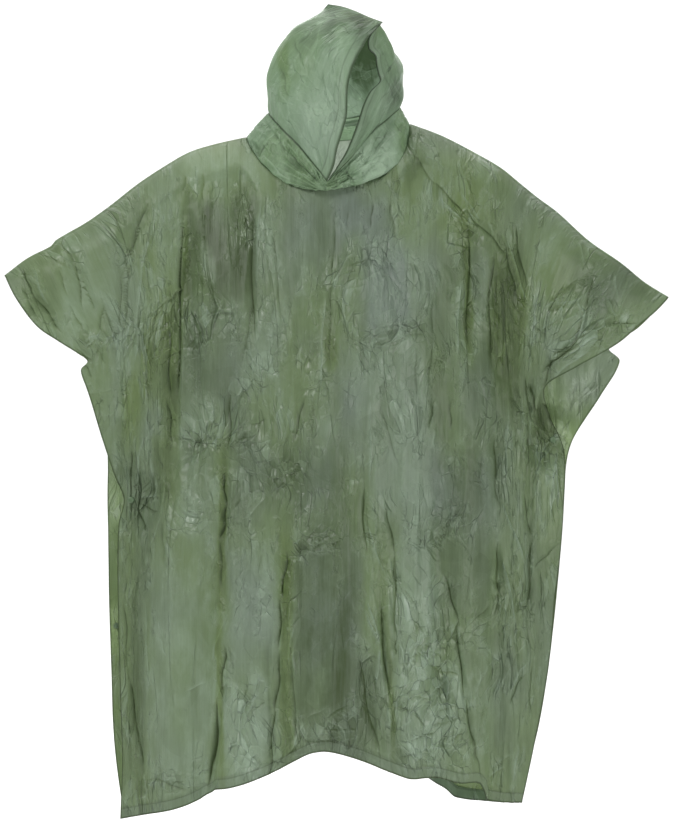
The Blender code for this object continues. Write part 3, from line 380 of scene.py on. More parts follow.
# Creases of the hood and the neck band, in the front view, in the same columns as the front's
HOOD_CREASES = metres(4, (
    (12, 116, 2, 5, 5, -3, 1), (24, 140, 14, 52, 5, 3, 0), (-6, 5, -37, -43, 4, -3, 0),
    (2, 0, -10, -83, 4, 3, 0), (11, 1, -1, -84, 4, -3, 0), (-20, 0, -27, -50, 4, -2.5, 0),
    (-66, 159, -52, 118, 8, -4, 0), (-87, 114, -75, 56, 9, -4, 2), (-53, 87, -61, 42, 7, 3, 0),
    (-15, 94, -10, 42, 6, -3, 0), (-34, 49, -39, -11, 6, 3, 0), (-60, 5, -12, -60, 5, -3, 0),
    (-75, 29, -44, -19, 6, 3, 0), (-40, 27, -1, 32, 4, -2, 0), (-8, 196, -34, 114, 10, 3, 3),
    (14, 186, 35, 162, 7, -3, 0), (35, 162, 69, 176, 4, -3, 0), (-24, 186, -61, 145, 7, -3, 0),
    (26, 101, 19, 18, 3, -2.5, 0), (-94, 77, -72, 36, 6, 3, 0), (-49, 152, -17, 107, 7, 2.5, 0),
    (101, 95, 122, 65, 3, 3.5, 0), (91, 101, 113, 56, 4, -4, 0), (88, 147, 93, 101, 4, 3, 0),
    (79, 159, 103, 107, 4, -3, 0), (88, 83, 63, 10, 4, 3.5, 0), (77, 73, 50, 0, 4, -3.5, 0),
    (53, 10, 33, -47, 4, 3, 0), (69, 18, 35, -53, 3, -3, 0), (100, 70, 72, 29, 5, -4, 0),
    (113, 63, 89, 36, 4, 3, 0),
))
HOOD_BACK_CREASES = metres(4, (
    (-60, 190, -80, 100, 8, 4, 3), (-20, 200, -40, 90, 6, -4, 0), (20, 190, 0, 80, 7, 4, -3),
    (60, 170, 30, 70, 6, -4, 0), (90, 130, 70, 60, 6, 3, 0), (-90, 110, -60, 50, 6, -3, 0),
    (-50, 80, 10, 60, 5, 3, 3), (0, 130, 60, 100, 5, -3, 0),
))
BAND_CREASES = metres(4, (
    (-108, -14, -130, -43, 5, -3.5, 0), (-84, -12, -77, -48, 6, 3, 0), (-96, 8, -119, -29, 5, 3, 0),
    (-77, -36, -20, -95, 5, -3.5, 0), (-60, -72, -37, -84, 4, 3, 0), (-102, 1, -61, -53, 6, -3, 2),
    (-54, -36, -17, -81, 4, 3, 0), (-119, -36, -72, -88, 6, 4, 3), (109, 25, 122, 0, 4, -3, 0),
    (112, 0, 50, -81, 5, 3.5, 3), (100, 5, 70, -48, 5, -4, 0), (118, -34, 63, -77, 6, 3.5, 3),
    (33, -55, 24, -83, 3, -3, 0), (70, -12, 46, -72, 4, 3, 0), (86, 1, 55, -67, 4, -3.5, 0),
    (93, -36, 52, -88, 5, -3, 0), (21, -67, 41, -95, 4, -3, 0), (9, -84, 23, -103, 4, 3, 0),
))
BAND_BACK_CREASES = metres(4, (
    (-110, 40, -125, 5, 6, 3, 0), (-75, 42, -95, 2, 5, -3, 0), (-45, 40, -50, 0, 6, 3, 0),
    (-10, 35, -20, -2, 5, -3, 0), (30, 40, 35, 0, 6, 3, 0), (65, 46, 80, 6, 5, -3, 0),
    (95, 50, 115, 12, 6, 3, 0),
))

# Tint of the film and painted light: x and z of the middle, half width, half height, greyness (olive under
# 0), lightness, which is painted light (painted shade under 0), crumples (calm under 0)
FRONT_TINTS_AND_PAINTED_LIGHT = metres(4, (
    (-183, -65, 82, 37, -0.5, 0.52, -0.9), (-184, -119, 17, 41, 0.1, 0.2, 0),
    (-171, -205, 45, 99, 0.35, -0.72, -0.8), (-230, -205, 24, 85, -0.1, -0.5, 0),
    (-214, -224, 14, 20, 0.3, 0.65, 0), (-256, -234, 6, 98, -0.7, -0.45, 0),
    (-286, -204, 25, 102, -0.1, 0.26, 0), (-277, -422, 14, 113, -0.7, -0.34, 0),
    (-201, -409, 56, 76, 0.5, -0.22, -0.3), (-194, -322, 56, 27, 0.1, 0.22, 0.5),
    (-109, -194, 26, 91, 0.3, 0.14, 0), (-44, -200, 36, 95, 0.6, -0.04, -0.8),
    (-110, -375, 28, 69, 0.4, 0.3, 0.4), (-40, -360, 27, 27, 0.4, -0.22, 0),
    (-79, -488, 15, 47, 0.2, 0.18, 0), (-1, -368, 8, 42, -0.7, -0.45, 0),
    (50, -160, 52, 54, 0.75, 0.05, -0.5), (185, -118, 80, 63, -0.6, 0.1, -0.2),
    (92, -268, 37, 61, 0.95, 0.24, 0.4), (85, -434, 78, 102, 0.7, 0.26, 0.15),
    (188, -387, 22, 149, 0.1, -0.16, 0), (236, -275, 7, 112, -0.7, -0.2, 0),
    (262, -266, 18, 86, 0.4, 0.06, 0), (302, -321, 28, 117, -0.85, -0.6, 0.2),
    (254, -464, 41, 71, 0.4, -0.14, -0.3), (373, -224, 47, 71, -0.2, 0.12, -0.6),
    (358, -346, 23, 47, 0.2, 0.34, 0.5), (488, -244, 74, 51, 0.35, -0.34, -0.4),
    (418, -339, 36, 44, 0, 0.16, 0.4), (-507, -268, 37, 54, -0.2, -0.22, -0.5),
    (-428, -280, 42, 76, -0.15, 0.28, -0.7), (-355, -358, 34, 127, 0.2, 0.28, 0),
    (-296, -231, 32, 95, -0.2, 0.12, 0), (-348, -470, 17, 63, -0.7, -0.24, 0),
    (-309, -410, 19, 64, -0.55, -0.16, 0), (-302, -507, 22, 29, 0.3, 0.14, 0),
    (-230, -590, 30, 112, 0.4, 0.22, 0.35), (-291, -576, 14, 47, -0.3, -0.36, 0),
    (-182, -669, 7, 117, -0.9, -0.42, 0), (-71, -595, 95, 63, 0.45, -0.28, 0.3),
    (-133, -811, 39, 96, 0.6, 0.28, 0.1), (-77, -877, 12, 196, -0.7, -0.32, 0),
    (-13, -854, 47, 200, 0.45, -0.52, -0.7), (-335, -904, 16, 237, 0.2, -0.34, 0),
    (-257, -739, 58, 54, -0.25, 0.08, 0), (-255, -957, 58, 161, 0.05, 0.22, -0.9),
    (-148, -1036, 37, 81, 0.55, 0.6, 0.9), (-189, -952, 5, 156, -0.7, -0.32, 0),
    (-27, -547, 27, 96, 0.3, 0.12, 0), (33, -796, 19, 112, 0.35, -0.24, 0),
    (44, -986, 47, 74, 0.15, -0.3, 0), (134, -593, 63, 61, 0.4, 0.42, 0),
    (224, -613, 47, 54, 0.35, -0.3, 0), (144, -794, 39, 117, 0.3, 0.52, 0.3),
    (234, -750, 44, 73, 0.25, -0.26, -0.4), (291, -972, 61, 146, 0.1, 0.02, -0.8),
    (163, -994, 58, 83, 0.25, 0.5, 0.9), (317, -608, 32, 76, -0.1, -0.05, 0),
    (370, -617, 16, 68, -0.5, 0.3, 0), (99, -972, 4, 102, -0.6, -0.4, 0),
    (315, -754, 37, 66, -0.1, 0.12, 0), (368, -488, 14, 37, -0.5, -0.55, 0),
    (141, -224, 42, 71, 0.35, 0.16, 0), (-255, -926, 58, 191, 0.1, 0.06, -0.3),
    (302, -617, 51, 68, 0.1, 0.06, 0),
))
BACK_TINTS_AND_PAINTED_LIGHT = metres(4, (
    (0, -300, 150, 220, 0.5, 0.1, 0), (-220, -260, 60, 120, 0.1, -0.25, 0),
    (230, -320, 50, 120, -0.4, -0.3, 0), (-160, -60, 100, 45, -0.4, 0.2, 0),
    (160, -80, 100, 45, -0.4, 0.2, 0), (-100, -560, 50, 160, 0.3, 0.15, 0),
    (100, -640, 60, 180, 0.1, -0.25, 0), (-240, -760, 60, 160, -0.2, -0.2, 0),
    (10, -900, 70, 160, 0.3, 0.2, 0), (240, -900, 60, 180, -0.2, 0.15, 0),
    (-120, -980, 40, 140, -0.4, -0.25, 0), (-320, -950, 40, 180, -0.2, 0.15, 0),
    (470, -410, 70, 90, 0.9, 0.05, 0), (20, -40, 70, 60, 0.9, 0.8, 0),
))
HOOD_TINTS_AND_PAINTED_LIGHT = metres(4, (
    (-60, 100, 40, 60, -0.2, -0.05, 0), (-20, 0, 30, 60, 0.4, 0.25, 0), (30, 168, 40, 28, 0, -0.62, 0),
    (-30, 185, 45, 24, 0, -0.22, 0), (-40, 60, 80, 90, 0.1, 0.24, 0), (50, 176, 30, 12, -0.7, -0.3, 0),
    (20, 120, 12, 90, -0.1, 0.12, 0), (80, 60, 20, 30, 0.1, 0.15, 0), (110, 55, 14, 24, 0.2, -0.5, 0),
    (-90, 80, 10, 60, -0.5, -0.2, 0),
))
HOOD_BACK_TINTS_AND_PAINTED_LIGHT = metres(4, (
    (50, 140, 50, 40, 0.2, -0.85, 0), (60, 165, 30, 22, -0.2, -0.6, 0), (50, 85, 60, 24, 0.5, 0.1, 0),
    (20, 50, 60, 24, 0.9, 0.6, 0),
))
BAND_TINTS_AND_PAINTED_LIGHT = metres(4, (
    (-70, -50, 40, 30, -0.1, -0.1, 0), (80, -40, 40, 40, 0.3, 0.8, 0),
    (118, -10, 12, 40, -0.4, 0.05, 0), (-120, -20, 20, 20, -0.2, -0.15, 0),
))


def smooth(places, values, at):
    """Values on smooth curves through a table, with a curve of its own for each place if it has them."""
    places = np.array(places, float)
    values = np.array(values, float)
    at = np.clip(np.array(at, float), places[0], places[-1])
    if values.ndim == 1:
        values = np.repeat(values[:, None], at.size, 1)
    last = len(places) - 1
    below = np.maximum(np.arange(len(places)) - 1, 0)
    above = np.minimum(np.arange(len(places)) + 1, last)
    slope = (values[above] - values[below]) / (places[above] - places[below])[:, None]
    k = np.clip(np.searchsorted(places, at, "right") - 1, 0, last - 1)
    n = np.arange(at.size)
    span = places[k + 1] - places[k]
    u = (at - places[k]) / span
    start = values[k, n] * (2 * u**3 - 3 * u**2 + 1) + slope[k, n] * span * (u**3 - 2 * u**2 + u)
    return start + values[k + 1, n] * (3 * u**2 - 2 * u**3) + slope[k + 1, n] * span * (u**3 - u**2)


def column(table, index):
    return [row[index] for row in table]


def curve(table, at):
    return smooth(column(table, 0), column(table, 1), at)


def step(value):
    """0 to 1 with soft ends."""
    value = np.clip(value, 0.0, 1.0)
    return value * value * (3 - 2 * value)


def by_length(points, shown=None):
    """Function of the share of a line's length, through these points or through others in their places."""
    points = np.array(points, float)
    lengths = np.concatenate(([0.0], np.cumsum(np.linalg.norm(np.diff(points, axis=0), axis=1))))
    through = points if shown is None else np.array(shown, float)

    def at(share):
        return np.stack([smooth(lengths / lengths[-1], axis, share) for axis in through.T], -1)

    return at


def edge_line(rows):
    return by_length([(x, 0.0, z) for x, z in rows])


def round_neck(degrees, first):
    """Points of the neckline, or of the seam of the hood, at these turns."""
    turn = np.mod(degrees, 360)
    return np.stack([smooth(column(NECK, 0), column(NECK, first + k), turn) for k in range(3)], -1)


# First columns of the neckline and of the hood's seam in the neck's table
NECKLINE = 1
HOOD_SEAM = 4
THROAT = (NECK[0][HOOD_SEAM], NECK[0][HOOD_SEAM + 2])
LEFT_TIP = LEFT_SHOULDER[0][0]
RIGHT_TIP = RIGHT_SHOULDER[-1][0]
LEFT_NECK = (LEFT_SHOULDER[-1][0] - LEFT_TIP) / (RIGHT_TIP - LEFT_TIP)
RIGHT_NECK = (RIGHT_SHOULDER[0][0] - LEFT_TIP) / (RIGHT_TIP - LEFT_TIP)


def top_line(side, s):
    """Upper edge of a panel: the line of the shoulders, and the neckline between its two ends."""
    s = np.atleast_1d(s)
    x = LEFT_TIP + (RIGHT_TIP - LEFT_TIP) * s
    z = np.where(s <= LEFT_NECK, curve(LEFT_SHOULDER, x), curve(RIGHT_SHOULDER, x))
    line = np.stack([x, np.zeros_like(x), z], -1)
    share = np.clip((s - LEFT_NECK) / (RIGHT_NECK - LEFT_NECK), 0, 1)
    turn = 90 - 180 * share if side == "front" else 90 + 180 * share
    inside = (s > LEFT_NECK) & (s < RIGHT_NECK)
    return np.where(inside[:, None], round_neck(turn, NECKLINE), line)


def low_line(hem, s):
    x = hem[0][0] + (hem[-1][0] - hem[0][0]) * np.atleast_1d(s)
    return np.stack([x, np.zeros_like(x), curve(hem, x)], -1)


def along(x, z, line):
    """Share of the way along a line on the film, and the distance aside from it."""
    x0, z0, x1, z1 = line
    run_x = x1 - x0
    run_z = z1 - z0
    length = hypot(run_x, run_z)
    share = ((x - x0) * run_x + (z - z0) * run_z) / length**2
    aside = ((x - x0) * run_z - (z - z0) * run_x) / length
    return share, aside


def soft_ends(share, before, rising, last, falling):
    """1 along a fold, which starts this share before its line and ends at the last share."""
    return step((share + before) / rising) * step((last - share) / falling)


def folds(table, x, z):
    total = np.zeros_like(x)
    for *line, half, rise in table:
        share, aside = along(x, z, line)
        total += rise * np.exp(-((aside / half) ** 2)) * soft_ends(share, 0.10, 0.35, 1.10, 0.35)
    return total


def creases(table, x, z):
    """Height of creases that wander a little, with the distance and the height of the nearest crest."""
    total = np.zeros_like(x)
    most = np.zeros_like(x)
    off_crest = np.full_like(x, CREST_REACH)
    crest = np.zeros_like(x)
    for number, (*line, half, rise, bend) in enumerate(table):
        share, aside = along(x, z, line)
        width = CREASE_SHARE * half / 1000
        aside = aside - bend / 1000 * 4 * share * (1 - share)
        aside = aside + 0.25 * width * np.sin(9 * share + 2.4 * number)
        ends = soft_ends(share, 0.08, 0.3, 1.08, 0.3)
        near = np.abs(aside) / width
        peak = CREASE_SHARE * min(half / 6, 1.3) * rise / 1000
        part = peak * np.exp(0.2236 - np.sqrt(near**2 + 0.05)) * ends
        total += part
        nearest = np.abs(part) > most
        most = np.where(nearest, np.abs(part), most)
        off_crest = np.where(nearest, np.clip(aside, -CREST_REACH, CREST_REACH), off_crest)
        faded = np.clip(1 - np.abs(aside) / CREST_REACH, 0, 1) ** 2
        crest = np.where(nearest, rise / 4.5 * ends * faded, crest)
    return total, off_crest, crest


def pleats(table, x, z):
    """Height of folds that drop steeply on one side and slope away on the other."""
    total = np.zeros_like(x)
    for number, (*line, width, rise) in enumerate(table):
        share, aside = along(x, z, line)
        away = (aside + 0.003 * np.sin(7 * share + 1.7 * number)) * np.sign(rise)
        slope = np.clip(1 - (away / (width / 1000)), 0, 1) ** 1.5
        steep = step((away + 0.0025) / 0.005)
        total += abs(rise) / 1000 * slope * steep * soft_ends(share, 0.03, 0.35, 1.3, 0.3)
    return total


def crumpled(table):
    """Rows of short creases, laid side by side along each band of the table."""
    rows = []
    for x0, z0, x1, z1, half, count in table:
        run_x = x1 - x0
        run_z = z1 - z0
        length = hypot(run_x, run_z)
        for k in range(count):
            reach = rng.uniform(0.22, 0.5)
            start = rng.uniform(-0.05, 1.05 - reach)
            aside = half * (2 * (k + rng.random()) / count - 1)
            tilt = rng.uniform(-0.35, 0.35)
            first_x = x0 + run_x * start - run_z / length * aside
            first_z = z0 + run_z * start + run_x / length * aside
            last_x = first_x + reach * (run_x - tilt * run_z)
            last_z = first_z + reach * (run_z + tilt * run_x)
            height = rng.uniform(2.0, 3.6) * (-1 if k % 3 == 2 else 1)
            rows.append((first_x, first_z, last_x, last_z, rng.uniform(2.6, 3.6), height, rng.uniform(-2, 2)))
    return tuple(rows)


def near_bands(table, x, z):
    """1 in the bands of fine crumples, falling to 0 around them."""
    total = np.zeros_like(x)
    for x0, z0, x1, z1, half, _ in table:
        share, aside = along(x, z, (x0, z0, x1, z1))
        beyond = np.maximum(np.abs(share - 0.5) - 0.4, 0) * hypot(x1 - x0, z1 - z0)
        total += np.exp(-((aside / (1.2 * half)) ** 2) - (beyond / 0.02) ** 2)
    return np.minimum(total, 1.0)


def bumps(*places):
    """Even noise from -1 to 1 at these places."""
    return np.array([noise.noise(place) for place in np.stack(np.broadcast_arrays(*places), -1).tolist()])


def field(x, z, across, down, level):
    """Even noise with so many waves a metre across and down."""
    return bumps(x * across, z * down, level)


def ridged(waves, rise=0.35):
    """The same noise with sharp crests, around 0."""
    return rise - 2 * np.abs(waves)


def tints_and_painted_light(table, x, z):
    """Greyness, painted light and shade, and crumples at these places, from patches with uneven edges."""
    off_x = x + 0.010 * field(x, z, 14, 5, 31.0) + 0.004 * field(x, z, 60, 30, 37.0)
    off_z = z + 0.050 * field(x, z, 18, 7, 47.0) + 0.012 * field(x, z, 70, 40, 53.0)
    grey = np.zeros_like(x)
    light = np.zeros_like(x)
    crumple = np.zeros_like(x)
    for mid_x, mid_z, half_x, half_z, greyness, lightness, crumples in table:
        away = np.abs((off_x - mid_x) / half_x) ** 5 + np.abs((off_z - mid_z) / half_z) ** 3
        cover = np.exp(-0.8 * away)
        grey += greyness * cover
        light += lightness * cover
        even = -1.1 * ((x - mid_x) / half_x) ** 2 - 1.1 * ((z - mid_z) / half_z) ** 2
        crumple += crumples * np.exp(even)
    return grey, light, crumple


# Which way each panel faces, and what it is made from
FACING = {"front": -1.0, "back": 1.0}
EDGES = {
    "front": (edge_line(FRONT_LEFT_EDGE), edge_line(FRONT_RIGHT_EDGE), FRONT_HEM),
    "back": (edge_line(BACK_LEFT_EDGE), edge_line(BACK_RIGHT_EDGE), BACK_HEM),
}
DEPTHS = {"front": FRONT_DEPTH, "back": BACK_DEPTH}
FOLDS = {"front": FRONT_FOLDS, "back": BACK_FOLDS}
PLEATS = {"front": FRONT_PLEATS, "back": BACK_PLEATS}
CRUMPLES = {"front": FRONT_CRUMPLES, "back": BACK_CRUMPLES}
CREASES = {
    "front": FRONT_CREASES + crumpled(FRONT_CRUMPLES),
    "back": BACK_CREASES + crumpled(BACK_CRUMPLES),
}
TINTS_AND_PAINTED_LIGHT = {"front": FRONT_TINTS_AND_PAINTED_LIGHT, "back": BACK_TINTS_AND_PAINTED_LIGHT}
NOISE_LEVEL = {"front": 0.0, "back": 60.0}
CLOSED_SPOTS = [(*LEFT_STUD, CLOSED_STUD_DEPTH), (*RIGHT_STUD, CLOSED_STUD_DEPTH)]
FLAT_SPOTS = {"front": CLOSED_SPOTS, "back": CLOSED_SPOTS + [(*LOW_STUD, LOW_STUD_DEPTH)]}


def panel_surface(side, s, t):
    """Points of the wall of the front or back, without its creases."""
    left, right, hem = EDGES[side]
    top = top_line(side, s)
    low = low_line(hem, s)
    over = s[:, None]
    down = t[:, None]
    corners = (1 - down) * ((1 - over) * top_line(side, 0.0) + over * top_line(side, 1.0))
    corners += down * ((1 - over) * low_line(hem, 0.0) + over * low_line(hem, 1.0))
    place = (1 - over) * left(t) + over * right(t) + (1 - down) * top + down * low - corners
    drop = np.hypot(place[:, 0] - top[:, 0], place[:, 2] - top[:, 2])
    arch = np.sqrt(1 - (1 - np.minimum(drop / curve(RIDGE_RADIUS, s), 1.0)) ** 2)
    edge = step(np.minimum(s, 1 - s) / EDGE_FADE)
    table = DEPTHS[side]
    rows = np.array([smooth(ACROSS, row[1:], s) for row in table])
    out = smooth(column(table, 0), rows, t) / 1000
    out += folds(FOLDS[side], place[:, 0], place[:, 2]) * edge * arch
    for spot_x, spot_z, spot_out in FLAT_SPOTS[side]:
        away = np.hypot(place[:, 0] - spot_x, place[:, 2] - spot_z)
        out += (spot_out - out) * (1 - step((away - FLAT_RADIUS) / FLAT_FADE))
    out = np.abs(top[:, 1]) * (1 - arch) + out * arch
    place[:, 1] = FACING[side] * np.maximum(out, SEAM_GAP / 2)
    return place


def normals_of(grid):
    """Unit vectors at right angles to a grid of points, from the run of its rows and columns."""
    across = np.cross(np.gradient(grid, axis=0), np.gradient(grid, axis=1))
    return across / np.maximum(np.linalg.norm(across, axis=2, keepdims=True), 1e-12)


def run_of(grid, axis):
    """Length along the grid from its first row or column."""
    steps = np.linalg.norm(np.diff(grid, axis=axis), axis=2)
    return np.insert(np.cumsum(steps, axis=axis), 0, 0.0, axis=axis)


def eased(values, share, reaches):
    """Values smoothed down their rows by this share, over one reach after the other."""
    for reach in reaches:
        around = values.copy()
        around[reach:-reach] = (values[: -2 * reach] + 2 * values[reach:-reach] + values[2 * reach :]) / 4
        values = values + (around - values) * share
    return values


def even_neck(grid, columns):
    """The same grid with the kinks smoothed that run down from the neck's two corners."""
    near = sum(np.exp(-(((columns - corner) / 0.075) ** 4)) for corner in (LEFT_NECK, RIGHT_NECK))
    share = (near[None, :] * step((run_of(grid, 0) - 0.008) / 0.05))[..., None]
    reaches = (6,) * 26 + (3,) * 16 + (1,) * 12
    return eased(grid.swapaxes(0, 1), share.swapaxes(0, 1), reaches).swapaxes(0, 1)


def even_chest(grid, columns):
    """The same grid without the step across the chest, level with the lower edges of the sleeves."""
    drop = run_of(grid, 0)
    inside = step((np.minimum(columns, 1 - columns) - 0.12) / 0.10)[None, :]
    share = inside * step((drop - 0.08) / 0.06) * step((0.50 - drop) / 0.10)
    level = np.linspace(grid[..., 0].min(), grid[..., 0].max(), 2 * len(columns))
    depth = np.array([np.interp(level, row[:, 0], row[:, 1]) for row in grid])
    share = np.array([np.interp(level, row[:, 0], part) for row, part in zip(grid, share)])
    change = eased(depth, share, (8,) * 10 + (4,) * 6 + (2,) * 4) - depth
    moved = grid.copy()
    moved[..., 1] += [np.interp(row[:, 0], level, part) for row, part in zip(grid, change)]
    return moved


def grain_of(x, drop):
    """Places across the streaks, which run straight down, and slant inwards on the sleeves."""
    sleeve = step((np.abs(x) - 0.27) / 0.12)
    return x + np.sign(x) * 0.40 * sleeve * np.minimum(drop, 0.22)


def relief(side, x, z, run, drop, crumple):
    """Height of all creases of a panel over its smooth wall, and the nearest crest's distance and height."""
    creased, off_crest, crest = creases(CREASES[side], x, z)
    large = creased + 0.7 * pleats(PLEATS[side], x, z)
    level = NOISE_LEVEL[side]
    bent = run + 0.006 * field(run, z, 22, 9, level + 5.0)
    low = z + 0.012 * field(run, z, 16, 12, level + 8.0)
    long_folds = 0.0050 * field(run, z, 8, 1.6, level + 1.0)
    long_folds += 0.0036 * ridged(field(bent, z, 19, 2.4, level + 3.0))
    long_folds += 0.0020 * ridged(field(bent, z, 42, 5.5, level + 11.0))
    rough = step(0.10 + 2.2 * field(run, z, 5, 6, level + 17.0))
    facets = 0.0022 * ridged(field(bent, low, 30, 20, level + 23.0))
    facets += 0.0014 * ridged(field(bent, low, 62, 46, level + 29.0))
    rough = np.clip(rough + crumple, 0, 1)
    calm = (0.30 + 0.70 * step((drop - 0.03) / 0.14)) * (1 + 0.6 * np.clip(crumple, -1, 0))
    return large + (long_folds + facets * (0.15 + 0.85 * rough)) * calm, off_crest, crest


# Attributes that the film's pattern reads
MASKS = ("ridge", "grey", "light", "crumple", "off_crest", "crest", "from_edge", "from_side")


def panel(side):
    """Grid of a panel with all its creases, the ways out of it, its places in the grain and its masks."""
    early = 0.05 * (1 - np.cos(np.linspace(0, pi / 2, CLOSE_ROWS)))
    late = 1 - HEM_WIDTH + np.array([-0.0016, 0.0, 0.0016])
    middle = np.linspace(0.05, late[0], PANEL_ROWS - CLOSE_ROWS - HEM_ROWS + 1)[1:-1]
    rows = np.concatenate((early, middle, late, [0.9925, 0.9975, 1.0]))
    columns = np.linspace(0, 1, PANEL_COLUMNS)
    across, down = np.meshgrid(columns, rows)
    s = across.reshape(-1)
    t = down.reshape(-1)
    grid = panel_surface(side, s, t).reshape(*across.shape, 3)
    grid = even_chest(even_neck(grid, columns), columns)
    out = normals_of(grid)
    if out[len(rows) // 2, len(columns) // 2, 1] * FACING[side] < 0:
        out = -out
    x, y, z = grid.reshape(-1, 3).T
    drop = run_of(grid, 0).reshape(-1)
    run = grain_of(x, drop)
    grey, light, crumple = tints_and_painted_light(TINTS_AND_PAINTED_LIGHT[side], x, z)
    height, off_crest, crest = relief(side, x, z, run, drop, crumple)
    for spot_x, spot_z, _ in FLAT_SPOTS[side]:
        height *= step((np.hypot(x - spot_x, z - spot_z) - 0.006) / 0.020)
    height *= step((drop - 0.002) / 0.030)
    height *= 0.25 + 0.75 * step(np.minimum(s, 1 - s) / 0.03)
    height = np.maximum(height, 0.004 - np.abs(y))
    moved = grid + out * height.reshape(*across.shape, 1)
    from_hem = run_of(grid[::-1], 0)[::-1]
    from_side = np.minimum(run_of(grid, 1), run_of(grid[:, ::-1], 1)[:, ::-1])
    ridge = np.clip(height / PANEL_RELIEF, -1, 1)
    rough = near_bands(CRUMPLES[side], x, z) + crumple
    near_side = np.minimum(from_side, 0.02)
    masks = dict(zip(MASKS, (ridge, grey, light, rough, off_crest, crest, from_hem, near_side)))
    return moved, out, np.stack((run, z), -1).reshape(*across.shape, 2), masks


def settled(name, shape):
    """Object with the faces of this bmesh, which is then freed."""
    mesh = bpy.data.meshes.new(name)
    shape.to_mesh(mesh)
    shape.free()
    mesh.shade_smooth()
    made = bpy.data.objects.new(name, mesh)
    bpy.context.scene.collection.objects.link(made)
    return made


def film(name, made, inwards, ring=False, wall=0.0):
    """Piece of film through a grid of points, with its pattern's places as UV and its masks as attributes."""
    grid, _, laid, masks = made
    rows, columns = grid.shape[:2]
    shape = bmesh.new()
    bmesh.ops.create_grid(shape, x_segments=columns - 1, y_segments=rows - 1, size=1.0)
    if inwards:
        bmesh.ops.reverse_faces(shape, faces=shape.faces)
    piece = settled(name, shape)
    mesh = piece.data
    mesh.vertices.foreach_set("co", grid.reshape(-1).astype(np.float32))
    corner = np.empty(len(mesh.loops), np.int32)
    mesh.loops.foreach_get("vertex_index", corner)
    places = laid.reshape(-1, 2)[corner].reshape(-1).astype(np.float32)
    mesh.uv_layers.new(name="laid_flat").data.foreach_set("uv", places)
    for label, values in masks.items():
        mask = mesh.attributes.new(label, "FLOAT", "POINT")
        mask.data.foreach_set("value", values.reshape(-1).astype(np.float32))
    if ring:
        shape = bmesh.new()
        shape.from_mesh(mesh)
        bmesh.ops.remove_doubles(shape, verts=shape.verts, dist=MERGED)
        shape.to_mesh(mesh)
        shape.free()
    if wall:
        thick = piece.modifiers.new("Welded film", "SOLIDIFY")
        thick.thickness = wall
        thick.offset = 0.0
    return piece


def dress(piece, material, node):
    """Gives a piece its material and its body, and hides the wall of the model that it stands for."""
    piece.data.materials.append(material)
    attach(piece, "root")
    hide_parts(node)


def welded_strip(name, made, rows, columns, inwards, painted_light=0.0):
    """Strip of doubled film just inside these rows and columns of a piece, with so much painted light added
    to its lightness.
    """
    grid, out, laid, masks = made
    kept = {label: values.reshape(grid.shape[:2])[rows, columns] for label, values in masks.items()}
    kept["light"] = kept["light"] + painted_light
    inside = grid[rows, columns] - out[rows, columns] * HEM_INSIDE
    strip = film(name, (inside, out, laid[rows, columns], kept), inwards, wall=STRIP_WALL)
    dress(strip, WELDED, name)
    return strip


# Materials


def put(tree, kind, feeds=None, **settings):
    """Node with its settings made and its inputs fed by values or by other nodes' outputs."""
    node = tree.nodes.new("ShaderNode" + kind)
    for name, value in settings.items():
        setattr(node, name, value)
    for socket, value in (feeds or {}).items():
        if isinstance(value, bpy.types.NodeSocket):
            tree.links.new(value, node.inputs[socket])
        else:
            node.inputs[socket].default_value = value
    return node


def mixed(tree, share, first, second):
    return put(tree, "Mix", {0: share, 6: first, 7: second}, data_type="RGBA").outputs[2]


def ramp(tree, value, low, high, to_low=0.0, to_high=1.0):
    feeds = {"Value": value, "From Min": low, "From Max": high, "To Min": to_low, "To Max": to_high}
    return put(tree, "MapRange", feeds, interpolation_type="SMOOTHSTEP").outputs[0]


# Tones that the pattern mixes, in the order of each film's table of colours; the last two are also the
# colours of painted shade and painted light
FILM_TONES = ("Film", "Grey film", "Olive film", "Deep film and painted shade", "Milky film and painted light")


